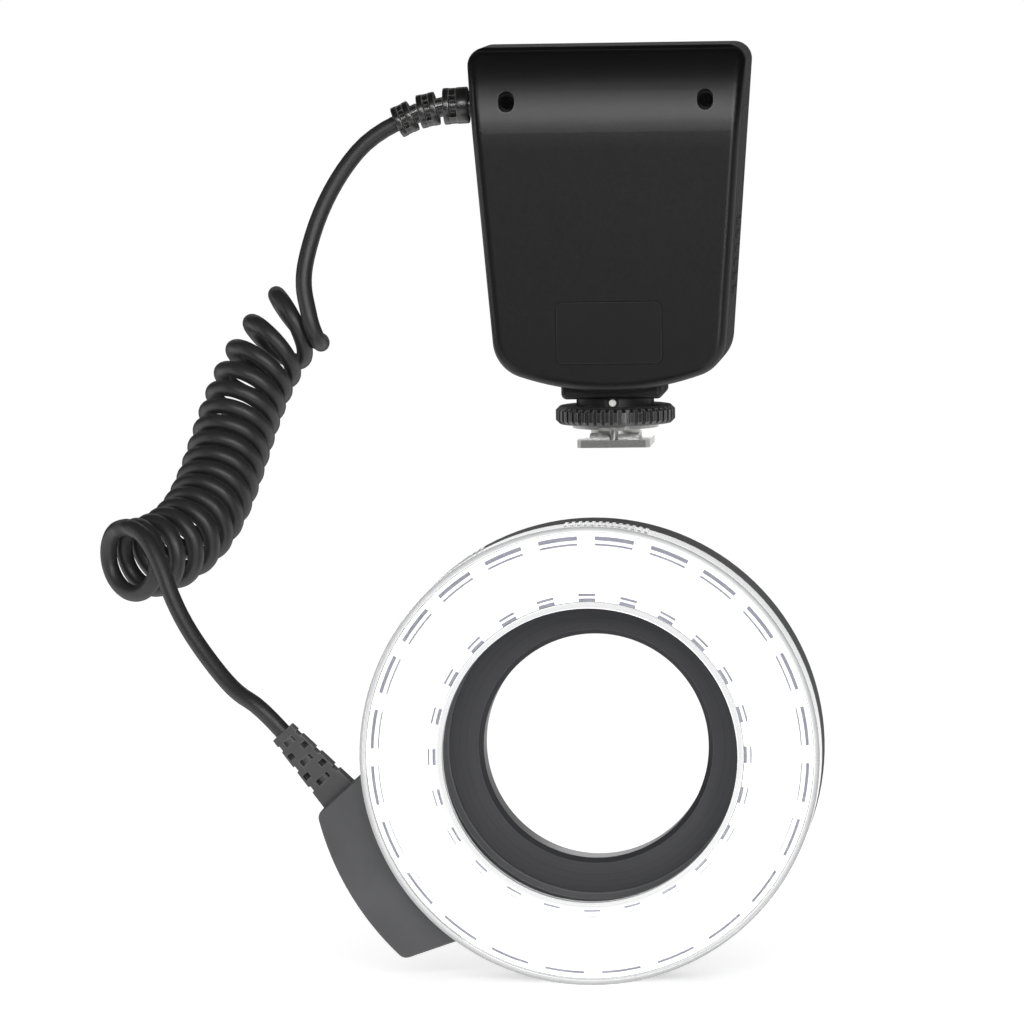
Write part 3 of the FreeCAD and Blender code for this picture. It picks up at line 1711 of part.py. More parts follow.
os.makedirs(OUT, exist_ok=True)
save("front_shell", front_shell())
save("rear_shell", rear_shell())
save("shell_screws", shell_screws())
save("label_plate", label_plate())
save("rear_panel", rear_panel())
save("display_window", display_window())
save("display_module", display_module())
save("main_board", main_board())
save("tact_switches", tact_switches())
for name, x, z in button_places():
    save("button_" + name, button(x, z))
save("power_switch", power_switch())
save("switch_block", switch_block())
save("ready_lamp", ready_lamp())
save("control_chip", control_chip())
save("boost_coil", boost_coil())
save("lead_socket", lead_socket())
save("controller_leads", controller_leads())
save("battery_tray", battery_tray())
save("battery_cells", battery_cells())
save("contact_strip", contact_strip())
save("cell_springs", cell_springs())
save("battery_door", battery_door())
save("door_contacts", door_contacts())
save("foot_block", foot_block())
save("foot_bracket", foot_bracket())
save("bracket_screws", bracket_screws())
save("foot_post", foot_post())
save("foot_plate", foot_plate())
save("plate_screws", plate_screws())
save("index_dot", index_dot())
save("lock_wheel", lock_wheel())
save("pressure_plate", pressure_plate())
save("lock_pin", lock_pin())
save("centre_contact", centre_contact())
save("contact_spring", contact_spring())
save("case_boot", case_boot())
save("cord_upper", tube(soft_path(upper_route, "upper cord"), cord_diameter, "upper cord"))
save("cord_coil", tube(coil_path(), cord_diameter, "curly cord"))
save("cord_lower", tube(soft_path(lower_route, "lower cord"), cord_diameter, "lower cord"))
save("head_boot", head_boot())
save("head_leads", head_leads())
save("head_housing", head_housing())
save("pod_cover", pod_cover())
save("pod_board", pod_board())
save("pod_socket", pod_socket())
save("ring_leads", ring_leads())
save("led_board", led_board())
save("leds_outer", leds(outer_led_radius, 0))
save("leds_inner", leds(inner_led_radius, 180 / led_per_ring))
save("reflector", reflector())
save("diffuser_cap", diffuser_cap())
save("adapter_ring", adapter_ring())
save("keeper_ring", keeper_ring())
save("keeper_screws", keeper_screws())
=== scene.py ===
import math

import bmesh
import bpy
from mathutils import Matrix, Vector


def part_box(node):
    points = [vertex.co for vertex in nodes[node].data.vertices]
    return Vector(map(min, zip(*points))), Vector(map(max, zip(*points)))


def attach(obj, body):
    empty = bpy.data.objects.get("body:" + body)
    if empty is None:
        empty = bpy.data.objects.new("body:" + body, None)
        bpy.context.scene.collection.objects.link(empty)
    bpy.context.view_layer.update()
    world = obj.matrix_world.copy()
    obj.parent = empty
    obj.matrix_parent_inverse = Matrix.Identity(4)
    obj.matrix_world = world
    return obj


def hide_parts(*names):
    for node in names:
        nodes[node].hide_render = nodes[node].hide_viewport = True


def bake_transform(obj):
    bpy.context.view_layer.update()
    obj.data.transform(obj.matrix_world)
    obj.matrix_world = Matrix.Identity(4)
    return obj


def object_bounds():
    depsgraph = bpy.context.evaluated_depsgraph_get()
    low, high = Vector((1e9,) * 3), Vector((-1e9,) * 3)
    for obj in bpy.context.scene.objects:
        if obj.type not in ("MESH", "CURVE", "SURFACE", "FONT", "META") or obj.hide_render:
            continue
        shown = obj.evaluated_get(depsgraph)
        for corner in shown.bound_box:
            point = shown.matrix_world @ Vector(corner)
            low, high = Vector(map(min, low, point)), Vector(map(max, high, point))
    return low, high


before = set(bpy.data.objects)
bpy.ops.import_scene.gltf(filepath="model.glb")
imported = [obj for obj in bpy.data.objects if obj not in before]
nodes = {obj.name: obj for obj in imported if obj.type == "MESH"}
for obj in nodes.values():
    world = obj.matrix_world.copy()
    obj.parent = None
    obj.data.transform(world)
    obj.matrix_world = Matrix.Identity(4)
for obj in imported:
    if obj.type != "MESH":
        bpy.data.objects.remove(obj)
cad_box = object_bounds()

# Camera
# A long lens looks at the front from 5 degrees to the door's side and 5 degrees above, and is
# held 1 degree off level. It aims at the middle of the picture, left of the foot and below it.
camera_side = math.radians(5)
camera_rise = math.radians(5)
camera_lean = math.radians(-1)
camera_distance = 2.16
camera_aim = Vector((-0.02673, -0.0038, -0.01665))
camera = bpy.data.objects.new("camera", bpy.data.cameras.new("camera"))
camera.data.lens = 296.2
camera.data.sensor_width = 36
camera.data.clip_end = 50
camera_turn = (
    Matrix.Rotation(camera_side, 4, "Z")
    @ Matrix.Rotation(math.pi / 2 - camera_rise, 4, "X")
    @ Matrix.Rotation(camera_lean, 4, "Z")
)
camera_back = Matrix.Translation((0, 0, camera_distance))
camera.matrix_world = Matrix.Translation(camera_aim) @ camera_turn @ camera_back
bpy.context.scene.collection.objects.link(camera)
bpy.context.scene.camera = camera

# Curly cord
# One round cord in black rubber: it hangs from the boot on the case, winds into curls that
# lie side by side and turn towards the front, and runs on to the boot on the light head.
upper_route = [
    (-0.0549, 0.0, 0.0833),
    (-0.0614, 0.0, 0.08027),
    (-0.069, -0.0008, 0.0717),
    (-0.075, -0.0024, 0.0608),
    (-0.0787, -0.0048, 0.0486),
    (-0.0792, -0.0064, 0.042),
    (-0.0779, -0.0078, 0.0362),
]
curls_entry = [
    (-0.0771, -0.0085, 0.0325),
    (-0.0758, -0.0078, 0.0288),
    (-0.0751, -0.0040, 0.0270),
    (-0.0754, 0.0006, 0.0272),
]
curls_axis = [
    (-0.0799, 0.0054, 0.0352),
    (-0.1054, -0.0077, 0.0139),
    (-0.0910, -0.0300, -0.0235),
    (-0.1204, -0.0560, -0.0236),
]
curls_exit = (-0.1180, -0.0628, -0.0142)
lower_route = [
    (-0.1152, -0.0648, -0.0152),
    (-0.1125, -0.0679, -0.0172),
    (-0.1090, -0.0707, -0.0233),
    (-0.1059, -0.0733, -0.0317),
    (-0.1014, -0.0761, -0.0397),
    (-0.0946, -0.0798, -0.0485),
    (-0.0888, -0.0835, -0.0543),
    (-0.0829, -0.0873, -0.057),
    (-0.0773, -0.0873, -0.06335),
]
cord_diameter = 0.0042
curl_radius = 0.0084
curl_pitch = 0.00464
open_curl_pitch = 0.0072
open_curl_reach = 0.018
curl_lean = math.radians(15)
curl_lean_reach = 0.022
first_turn = 0.0
last_turn_part = 0.5
points_per_turn = 14
cord_sides = 20
sharp_edge = math.radians(38)


def curls_middle(t):
    """A point on the curls' middle line; t runs from 0 at its top end to 1."""
    s = 1 - t
    weights = (s ** 3, 3 * t * s ** 2, 3 * t ** 2 * s, t ** 3)
    return sum((Vector(p) * w for p, w in zip(curls_axis, weights)), Vector())


def curls_way(t):
    small = 1e-4
    return (curls_middle(t + small) - curls_middle(t - small)).normalized()


def turns_made():
    """How many turns the cord has made after each small step along the curls' middle line."""
    steps = 2000
    made = [0.0]
    travelled = 0.0
    for k in range(1, steps + 1):
        t = k / steps
        step = (curls_middle(t) - curls_middle(t - 1 / steps)).length
        bend = (curls_way(t) - curls_way(t - 1 / steps)).length / step
        travelled += step
        opening = (open_curl_pitch - curl_pitch) * math.exp(-(travelled / open_curl_reach) ** 2)
        made.append(made[-1] + step * (1 - curl_radius * bend) / (curl_pitch + opening))
    return made


def across_curls(t):
    """Two directions across the curls' middle line; the first curls lean over towards the tail."""
    way = curls_way(t)
    side = way.cross(Vector((0, 1, 0))).normalized()
    behind = side.cross(way)
    travelled = (curls_middle(t) - curls_middle(0)).length
    lean = curl_lean * math.exp(-(travelled / curl_lean_reach) ** 2)
    return side * math.cos(lean) + way * math.sin(lean), behind


def curl_points():
    """The route's points round the curls; a spline cuts inside them, so they lie further out."""
    made = turns_made()
    whole = math.floor(made[-1] - last_turn_part) + last_turn_part
    stretch = whole / made[-1]
    reach = curl_radius / math.cos(math.pi / points_per_turn)
    count = round(points_per_turn * (whole - first_turn))
    points = []
    k = 0
    for i in range(count + 1):
        turn = first_turn + (whole - first_turn) * i / count
        while k < len(made) - 2 and made[k + 1] * stretch < turn:
            k += 1
        t = (k + (turn / stretch - made[k]) / (made[k + 1] - made[k])) / (len(made) - 1)
        side, behind = across_curls(t)
        angle = 2 * math.pi * turn
        points.append(curls_middle(t) + (side * math.cos(angle) + behind * math.sin(angle)) * reach)
    return points


def spline_line(points, resolution):
    """The points of a smooth line through the given route, read from its spline."""
    curve = bpy.data.curves.new("route", "CURVE")
    curve.dimensions = "3D"
    curve.resolution_u = resolution
    spline = curve.splines.new("NURBS")
    spline.points.add(len(points) - 1)
    for place, point in zip(spline.points, points):
        place.co = (*point, 1)
    spline.order_u = 3
    spline.use_endpoint_u = True
    holder = bpy.data.objects.new("route", curve)
    mesh = bpy.data.meshes.new_from_object(holder)
    line = [vertex.co.copy() for vertex in mesh.vertices]
    bpy.data.meshes.remove(mesh)
    bpy.data.curves.remove(curve)
    return line


def new_piece(name, made):
    """A mesh object from a bmesh, with smooth faces and outward normals."""
    bmesh.ops.recalc_face_normals(made, faces=made.faces)
    mesh = bpy.data.meshes.new(name)
    made.to_mesh(mesh)
    made.free()
    mesh.shade_smooth()
    mesh.set_sharp_from_angle(angle=sharp_edge)
    piece = bpy.data.objects.new(name, mesh)
    bpy.context.scene.collection.objects.link(piece)
    return piece


def join_rings(made, rings):
    """A closed skin over rings of equally many corners, with a face at either end."""
    count = len(rings[0])
    for one, two in zip(rings, rings[1:]):
        for n in range(count):
            after = (n + 1) % count
            made.faces.new((one[n], one[after], two[after], two[n]))
    made.faces.new(rings[0])
    made.faces.new(rings[-1])


def sweep(made, line, reach, sides):
    """A round skin about a line."""
    side = (line[1] - line[0]).normalized().orthogonal().normalized()
    rings = []
    for k, point in enumerate(line):
        onward = (line[min(k + 1, len(line) - 1)] - line[max(k - 1, 0)]).normalized()
        side = (side - onward * side.dot(onward)).normalized()
        other = onward.cross(side)
        ring = []
        for n in range(sides):
            angle = 2 * math.pi * n / sides
            ring.append(made.verts.new(point + (side * math.cos(angle) + other * math.sin(angle)) * reach))
        rings.append(ring)
    join_rings(made, rings)


def put(tree, kind, inputs=(), **settings):
    """A shader node with its settings; an input gets a value, or a link from another socket."""
    node = tree.nodes.new("ShaderNode" + kind)
    for name, value in settings.items():
        setattr(node, name, value)
    for name, value in dict(inputs).items():
        if isinstance(value, bpy.types.NodeSocket):
            tree.links.new(value, node.inputs[name])
        else:
            node.inputs[name].default_value = value
    return node


def maths(tree, operation, *values):
    """The result of one step of arithmetic on values or sockets."""
    return put(tree, "Math", enumerate(values), operation=operation).outputs[0]


def product(tree, first, *others):
    """Values or sockets multiplied together."""
    for other in others:
        first = maths(tree, "MULTIPLY", first, other)
    return first


def mix_values(tree, share, one, two):
    """The number between two others that the share gives."""
    return put(tree, "Mix", {0: share, 2: one, 3: two}, data_type="FLOAT").outputs[0]


def mix_colours(tree, share, one, two):
    """The colour between two others that the share gives."""
    return put(tree, "Mix", {0: share, 6: one, 7: two}, data_type="RGBA").outputs[2]


def spread(tree, value, low, high, start=0.0, end=1.0):
    """Start where the value is low or less, end where it is high or more, and evenly between."""
    inputs = {"Value": value, "From Min": low, "From Max": high, "To Min": start, "To Max": end}
    return put(tree, "MapRange", inputs).outputs[0]


def place_in_frame(tree):
    """A point's X, Y and Z in the object's frame."""
    return put(tree, "SeparateXYZ", {0: put(tree, "TexCoord").outputs["Object"]}).outputs


def new_group(name, inputs, outputs):
    """An empty node group with its sockets; every input is a number with its usual value."""
    tree = bpy.data.node_groups.new(name, "ShaderNodeTree")
    for label, value in inputs.items():
        socket = tree.interface.new_socket(label, in_out="INPUT", socket_type="NodeSocketFloat")
        socket.default_value = value
    for label, kind in outputs.items():
        tree.interface.new_socket(label, in_out="OUTPUT", socket_type="NodeSocket" + kind)
    return tree, tree.nodes.new("NodeGroupInput").outputs, tree.nodes.new("NodeGroupOutput").inputs


tone_drift_scale = 55.0
wear_and_highlight_patch_scale = 420.0
wear_and_highlight_strength = 9.0


def grain_group():
    """The fine dull grain of a mould, and the slow drift of its tone."""
    inputs = {"Grain": 0.0004, "Depth": 0.00002}
    outputs = {"Tone": "Float", "Speck": "Float", "Normal": "Vector"}
    tree, given, made = new_group("mould_grain", inputs, outputs)
    place = put(tree, "TexCoord").outputs["Object"]
    scale = maths(tree, "DIVIDE", 1.0, given["Grain"])
    fine = put(tree, "TexNoise", {"Vector": place, "Scale": scale, "Detail": 3.0, "Roughness": 0.6})
    drift = {"Vector": place, "Scale": tone_drift_scale, "Detail": 4.0, "Roughness": 0.55}
    slow = put(tree, "TexNoise", drift)
    bump = put(tree, "Bump", {"Strength": 1.0, "Distance": given["Depth"], "Height": fine.outputs["Fac"]})
    tree.links.new(spread(tree, slow.outputs["Fac"], 0.3, 0.7), made["Tone"])
    tree.links.new(fine.outputs["Fac"], made["Speck"])
    tree.links.new(bump.outputs[0], made["Normal"])
    return tree


def edge_group():
    """Sharp edges, rubbed paler by wear and lit as a painted highlight: 1 on a sharp edge, 0 on a flat face.
    """
    tree, given, made = new_group("edge_wear_and_highlight", {"Width": 0.0004}, {"Mask": "Float"})
    round_normal = put(tree, "Bevel", {"Radius": given["Width"]}, samples=4).outputs[0]
    flat_normal = put(tree, "NewGeometry").outputs["Normal"]
    both = {0: round_normal, 1: flat_normal}
    alike = put(tree, "VectorMath", both, operation="DOT_PRODUCT").outputs["Value"]
    place = put(tree, "TexCoord").outputs["Object"]
    patchy = put(tree, "TexNoise", {"Vector": place, "Scale": wear_and_highlight_patch_scale, "Detail": 3.0}).outputs["Fac"]
    turned = maths(tree, "SUBTRACT", 1.0, alike)
    rubbed = {0: turned, 1: product(tree, patchy, wear_and_highlight_strength)}
    limited = put(tree, "Math", rubbed, operation="MULTIPLY", use_clamp=True)
    tree.links.new(limited.outputs[0], made["Mask"])
    return tree


mould_grain = grain_group()
edge_wear_and_highlight = edge_group()


def new_material(name, plain):
    """A material's tree and its Principled shader, with the values that are the same all over."""
    made = bpy.data.materials.new(name)
    made.use_nodes = True
    shader = made.node_tree.nodes["Principled BSDF"]
    for label, value in plain.items():
        shader.inputs[label].default_value = value
    return made, made.node_tree, shader.inputs


dull_variation = 0.08
rub_shine = 0.12
grazing_dull = 0.95
grazing_start = 0.55
grazing_full = 0.9


def grazing_share(tree):
    """1 where the surface is seen aslant, where a fine grain hides its gloss."""
    facing = put(tree, "LayerWeight", {"Blend": 0.5}).outputs["Facing"]
    return spread(tree, facing, grazing_start, grazing_full)


def moulded(name, dark, light, worn_and_lit_edge, dull, grain, depth, wear_and_highlight_width, gloss):
    """A moulded plastic or rubber: two close tones, fine grain, and edges that are paler, partly from wear
    and partly as a painted highlight.
    """
    made, tree, shader = new_material(name, {"Specular IOR Level": gloss})
    surface = put(tree, "Group", {"Grain": grain, "Depth": depth}, node_tree=mould_grain)
    edges = put(tree, "Group", {"Width": wear_and_highlight_width}, node_tree=edge_wear_and_highlight)
    tone = mix_colours(tree, surface.outputs["Tone"], (*dark, 1), (*light, 1))
    worn_and_lit_tone = mix_colours(tree, edges.outputs["Mask"], tone, (*worn_and_lit_edge, 1))
    speck = surface.outputs["Speck"]
    rough = spread(tree, speck, 0.0, 1.0, dull - dull_variation, dull + dull_variation)
    smoother = maths(tree, "SUBTRACT", rough, product(tree, edges.outputs["Mask"], rub_shine))
    tree.links.new(worn_and_lit_tone, shader["Base Color"])
    tree.links.new(mix_values(tree, grazing_share(tree), smoother, grazing_dull), shader["Roughness"])
    tree.links.new(surface.outputs["Normal"], shader["Normal"])
    return made


cord_rubber = moulded(
    "cord_rubber", (0.015, 0.015, 0.0155), (0.022, 0.022, 0.0225), (0.06, 0.06, 0.06),
    dull=0.45, grain=0.0006, depth=0.00003, wear_and_highlight_width=0.0001, gloss=0.6,
)
cord_route = upper_route + curls_entry + curl_points() + [curls_exit] + lower_route
cord_line = spline_line([Vector(p) for p in cord_route], 4)
cord_mesh = bmesh.new()
sweep(cord_mesh, cord_line, cord_diameter / 2, cord_sides)
cord = new_piece("cord", cord_mesh)
cord.data.materials.append(cord_rubber)
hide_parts("cord_upper", "cord_coil", "cord_lower")
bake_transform(cord)

# Boot on the case
# A rubber strain relief in three ribs with slots between them, so that it bends with the cord.
# It is moulded round the cord and held by a flange inside the case's wall.
boot_rib_radii = (0.0047, 0.00435, 0.0041)
boot_rib_lengths = (0.0064, 0.0047, 0.0046)
boot_gap = 0.0018
boot_angles = (3, 12, 25)
boot_disc = 0.0016
boot_root_disc = 0.0030
boot_core_radius = 0.0025
boot_rim = 0.00022
boot_bridge_half = 52
boot_web = (-34, -8)
boot_web_reach = 0.93
boot_stub = 0.006
boot_stub_radius = 0.0029
boot_bar_inside = 0.0015
boot_bar_overlap = 0.1
round_sides = 44
bar_steps = 8


def lathe(made, start, way, profile):
    """A closed round body about a line, from pairs of a distance along it and a reach from it."""
    front = Vector((0, -1, 0))
    up = way.cross(front).normalized()
    rings = []
    for along, reach in profile:
        ring = []
        for n in range(round_sides):
            angle = 2 * math.pi * n / round_sides
            out = front * math.cos(angle) + up * math.sin(angle)
            ring.append(made.verts.new(start + way * along + out * reach))
        rings.append(ring)
    join_rings(made, rings)


def arc_bar(made, start, way, length, inner, outer, low, high):
    """A closed bar with an arc for its section, between two angles from the front, in degrees."""
    front = Vector((0, -1, 0))
    up = way.cross(front).normalized()
    sections = []
    for along in (0, length):
        section = []
        for reach, angles in ((outer, range(bar_steps + 1)), (inner, range(bar_steps, -1, -1))):
            for n in angles:
                angle = math.radians(low + (high - low) * n / bar_steps)
                out = front * math.cos(angle) + up * math.sin(angle)
                section.append(made.verts.new(start + way * along + out * reach))
        sections.append(section)
    join_rings(made, sections)


def disc_profile(start, end, reach):
    """A disc with a small round along both rims."""
    rim = [(0, boot_rim), (boot_rim * 0.3, boot_rim * 0.3), (boot_rim, 0)]
    near = [(start + along, reach - less) for along, less in rim]
    far = [(end - along, reach - less) for along, less in reversed(rim)]
    return near + far


def add_rib(made, tip, back, radius, length, far_disc):
    """Two discs on the core, joined by a bar above it and one below."""
    lathe(made, tip, back, disc_profile(0, boot_disc, radius))
    lathe(made, tip, back, disc_profile(length - far_disc, length, radius))
    lathe(made, tip, back, [(0, boot_core_radius), (length + boot_gap, boot_core_radius)])
    place = tip + back * boot_disc * (1 - boot_bar_overlap)
    bar = length - far_disc - boot_disc + boot_disc * 2 * boot_bar_overlap
    outside = radius - boot_rim * 0.5
    for middle in (90, -90):
        low, high = middle - boot_bridge_half, middle + boot_bridge_half
        arc_bar(made, place, back, bar, boot_bar_inside, outside, low, high)


def add_rib_webs(made, place, back, radius):
    """The webs in front of the core and behind it that join a rib to the next."""
    length = boot_gap + 2 * boot_rim
    for side in (0, 180):
        low, high = (angle + side for angle in boot_web)
        arc_bar(made, place, back, length, boot_bar_inside, radius * boot_web_reach, low, high)


def make_case_boot():
    """Three ribs from the tip to the case, each turned further, and the stub in the case's wall."""
    made = bmesh.new()
    tip = Vector(upper_route[0])
    ribs = zip(reversed(boot_rib_radii), reversed(boot_rib_lengths), reversed(boot_angles))
    for number, (radius, length, angle) in enumerate(ribs):
        turn = math.radians(angle)
        back = Vector((math.cos(turn), 0, math.sin(turn)))
        last = number == len(boot_rib_radii) - 1
        add_rib(made, tip, back, radius, length, boot_root_disc if last else boot_disc)
        if not last:
            add_rib_webs(made, tip + back * (length - boot_rim), back, radius)
        tip = tip + back * (length + (0 if last else boot_gap))
    lathe(made, tip - back * boot_rim, back, [(0, boot_stub_radius), (boot_stub, boot_stub_radius)])
    return new_piece("case_boot_moulding", made)


# The pale tone on its edges is a painted highlight along the rims of the discs.
boot_rubber = moulded(
    "boot_rubber", (0.004, 0.004, 0.004), (0.008, 0.008, 0.0077), (0.2, 0.2, 0.19),
    dull=0.30, grain=0.0005, depth=0.00003, wear_and_highlight_width=0.0004, gloss=1.0,
)
case_boot = make_case_boot()
case_boot.data.materials.append(boot_rubber)
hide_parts("case_boot")
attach(case_boot, "controller")

# Case shells
# The front and rear shells are injection moulded in black plastic with a fine spark-eroded grain.
# They meet in a seam near the front, and the front one carries the sloping brow, which flows into
# the flat below it and curls back towards the top.
brow_foot = 0.081
brow_foot_slope = 0.072
brow_flow = 0.0045
brow_curl_start = 0.0925
brow_curl = 9.0
case_tones = ((0.0016, 0.0016, 0.0018), (0.0026, 0.0026, 0.0028), (0.014, 0.014, 0.015))
case_finish = {"dull": 0.34, "grain": 0.00035, "depth": 0.000015, "wear_and_highlight_width": 0.0006, "gloss": 0.45}
case_plastic = moulded("case_plastic", *case_tones, **case_finish)
brow_plastic = moulded("brow_plastic", *case_tones, **case_finish)


def curve_brow(made):
    """Leans the surface as if the brow's foot were rounded over and its top curled back."""
    tree = made.node_tree
    z = place_in_frame(tree)["Z"]
    off = maths(tree, "ABSOLUTE", maths(tree, "SUBTRACT", z, brow_foot))
    near = maths(tree, "MAXIMUM", maths(tree, "SUBTRACT", brow_flow, off), 0.0)
    cut = product(tree, near, near, brow_foot_slope / (4 * brow_flow))
    above = maths(tree, "MAXIMUM", maths(tree, "SUBTRACT", z, brow_curl_start), 0.0)
    curl = product(tree, above, above, brow_curl)
    height = product(tree, maths(tree, "ADD", cut, curl), -1.0)
    shader = tree.nodes["Principled BSDF"].inputs
    grain = shader["Normal"].links[0].from_socket
    lean = put(tree, "Bump", {"Strength": 1.0, "Distance": 1.0, "Height": height, "Normal": grain})
    tree.links.new(lean.outputs[0], shader["Normal"])


curve_brow(brow_plastic)


def finish(material, *names):
    """Gives CAD nodes their finish."""
    for name in names:
        for slot in nodes[name].material_slots:
            slot.material = material


finish(brow_plastic, "front_shell")
finish(case_plastic, "rear_shell")

# Case screws
# Two black-plated steel screws deep in their oblong wells, with a cross recess. The screws in the
# bracket, the foot plate and the keeper ring are bare steel.
scratch_turns = (0.4, 1.7, 2.6)
scratch_stretch = 26
scratch_start = 0.60
scratch_full = 0.68
gloss_patch_scale = 160.0


def scratch_group():
    """Fine scratches that lie every way, and the bright and dull patches of handled metal."""
    tree, given, made = new_group("fine_scratches", {"Size": 0.004}, {"Scratch": "Float", "Patch": "Float"})
    place = put(tree, "TexCoord").outputs["Object"]
    scale = maths(tree, "DIVIDE", 1.0, given["Size"])
    total = None
    stretch = (1, scratch_stretch, scratch_stretch)
    for turn in scratch_turns:
        turned = {"Vector": place, "Rotation": (turn, turn * 0.7, turn), "Scale": stretch}
        along = put(tree, "Mapping", turned).outputs[0]
        lines = put(tree, "TexNoise", {"Vector": along, "Scale": scale, "Detail": 2.0}).outputs["Fac"]
        sharp = spread(tree, lines, scratch_start, scratch_full)
        total = sharp if total is None else maths(tree, "MAXIMUM", total, sharp)
    patch = put(tree, "TexNoise", {"Vector": place, "Scale": gloss_patch_scale, "Detail": 4.0}).outputs["Fac"]
    tree.links.new(total, made["Scratch"])
    tree.links.new(patch, made["Patch"])
    return tree


fine_scratches = scratch_group()


def set_roughness(tree, shader, value, least, most):
    """Roughness that follows a value that runs from 0 to 1."""
    tree.links.new(spread(tree, value, 0.0, 1.0, least, most), shader["Roughness"])


def set_relief(tree, shader, height, depth, strength):
    """Relief of a small depth, from a height that runs from 0 to 1."""
    bump = put(tree, "Bump", {"Strength": strength, "Distance": depth, "Height": height})
    tree.links.new(bump.outputs[0], shader["Normal"])


def plated(name, colour, scratched, dull, size, wear_and_highlight_width=0.0003):
    """Plated or painted metal: scratched, patchy in gloss, and worn through on its edges."""
    made, tree, shader = new_material(name, {"Metallic": 1.0})
    marks = put(tree, "Group", {"Size": size}, node_tree=fine_scratches)
    edges = put(tree, "Group", {"Width": wear_and_highlight_width}, node_tree=edge_wear_and_highlight)
    tone = mix_colours(tree, marks.outputs["Scratch"], (*colour, 1), (*scratched, 1))
    worn_and_lit_tone = mix_colours(tree, edges.outputs["Mask"], tone, (*scratched, 1))
    tree.links.new(worn_and_lit_tone, shader["Base Color"])
    set_roughness(tree, shader, marks.outputs["Patch"], dull - 0.1, dull + 0.12)
    set_relief(tree, shader, marks.outputs["Scratch"], 0.00001, 0.4)
    return made


black_screw = plated(
    "black_screw", (0.002, 0.002, 0.002), (0.012, 0.012, 0.012), dull=0.55, size=0.002, wear_and_highlight_width=0.0001,
)
screw_steel = plated("screw_steel", (0.3, 0.3, 0.3), (0.5, 0.5, 0.5), dull=0.35, size=0.002)
finish(black_screw, "shell_screws")
finish(screw_steel, "bracket_screws", "plate_screws", "keeper_screws")

# Blank label plate
# A thin satin plate is let into the front with a hair's gap round it. Nothing is printed on it.
# The pale tone on its edges is a painted highlight along its rims.
label_film = moulded(
    "label_film", (0.0016, 0.0016, 0.0018), (0.0026, 0.0026, 0.0028), (0.08, 0.08, 0.08),
    dull=0.34, grain=0.0002, depth=0.00001, wear_and_highlight_width=0.00025, gloss=0.45,
)
finish(label_film, "label_plate")

# Battery door
# It slides down out of the case's side. Six raised ribs give the thumb a hold and are the first
# thing to shine, and two plated springs inside join the cells in pairs.
door_plastic = moulded(
    "door_plastic", (0.005, 0.005, 0.0053), (0.0075, 0.0075, 0.0079), (0.05, 0.05, 0.05),
    dull=0.40, grain=0.0003, depth=0.00002, wear_and_highlight_width=0.0005, gloss=0.45,
)
finish(door_plastic, "battery_door")
spring_steel = plated("spring_steel", (0.55, 0.55, 0.53), (0.75, 0.75, 0.73), dull=0.28, size=0.002)
finish(spring_steel, "door_contacts", "contact_strip", "cell_springs", "contact_spring")

# Battery tray and cells
# A plain black tray holds four AA cells in a stack. Each cell has a shrunk sleeve in two plain
# colours, the paler one at its raised end, and bare steel at both ends.
tray_plastic = moulded(
    "tray_plastic", (0.02, 0.02, 0.021), (0.028, 0.028, 0.029), (0.08, 0.08, 0.08),
    dull=0.5, grain=0.0005, depth=0.00002, wear_and_highlight_width=0.0004, gloss=0.4,
)
finish(tray_plastic, "battery_tray")
cells_low, cells_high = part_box("battery_cells")
cell_count = 4
cell_pitch = (cells_high.z - cells_low.z) / cell_count
cell_band = 0.014
cell_bare_end = 0.0016


def make_cell_sleeve():
    made, tree, shader = new_material("cell_sleeve", {"Specular IOR Level": 0.6})
    place = place_in_frame(tree)
    row = maths(tree, "DIVIDE", maths(tree, "SUBTRACT", place["Z"], cells_low.z), cell_pitch)
    odd = maths(tree, "MODULO", maths(tree, "FLOOR", row), 2.0)
    from_left = maths(tree, "SUBTRACT", place["X"], cells_low.x)
    from_right = maths(tree, "SUBTRACT", cells_high.x, place["X"])
    raised_end = mix_values(tree, odd, from_left, from_right)
    nearest_end = maths(tree, "MINIMUM", from_left, from_right)
    band = maths(tree, "LESS_THAN", raised_end, cell_band)
    bare = maths(tree, "LESS_THAN", nearest_end, cell_bare_end)
    sleeve = mix_colours(tree, band, (0.012, 0.035, 0.075, 1), (0.55, 0.50, 0.38, 1))
    tree.links.new(mix_colours(tree, bare, sleeve, (0.6, 0.6, 0.58, 1)), shader["Base Color"])
    tree.links.new(bare, shader["Metallic"])
    marks = put(tree, "Group", node_tree=fine_scratches)
    set_roughness(tree, shader, marks.outputs["Patch"], 0.22, 0.4)
    return made


finish(make_cell_sleeve(), "battery_cells")

# Rear panel, window and display
# The panel round the buttons is smooth black plastic. A clear window covers a reflective display
# that shows the level as rising bars, and no words.
panel_plastic = moulded(
    "panel_plastic", (0.006, 0.006, 0.0065), (0.009, 0.009, 0.0095), (0.04, 0.04, 0.04),
    dull=0.27, grain=0.0009, depth=0.000004, wear_and_highlight_width=0.0004, gloss=0.45,
)
finish(panel_plastic, "rear_panel")
display_low, display_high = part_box("display_module")
display_middle = (display_low + display_high) / 2
bar_pitch = 0.0034
bar_count = 8
bars_lit = 6
bar_step = 0.0011
bar_foot = display_middle.z - 0.0062
bar_share = 0.68
lowest_bar_steps = 3.0
bars_start = display_middle.x + bar_pitch * bar_count / 2
lit_bar_darkness = 0.9
faint_bar_darkness = 0.12


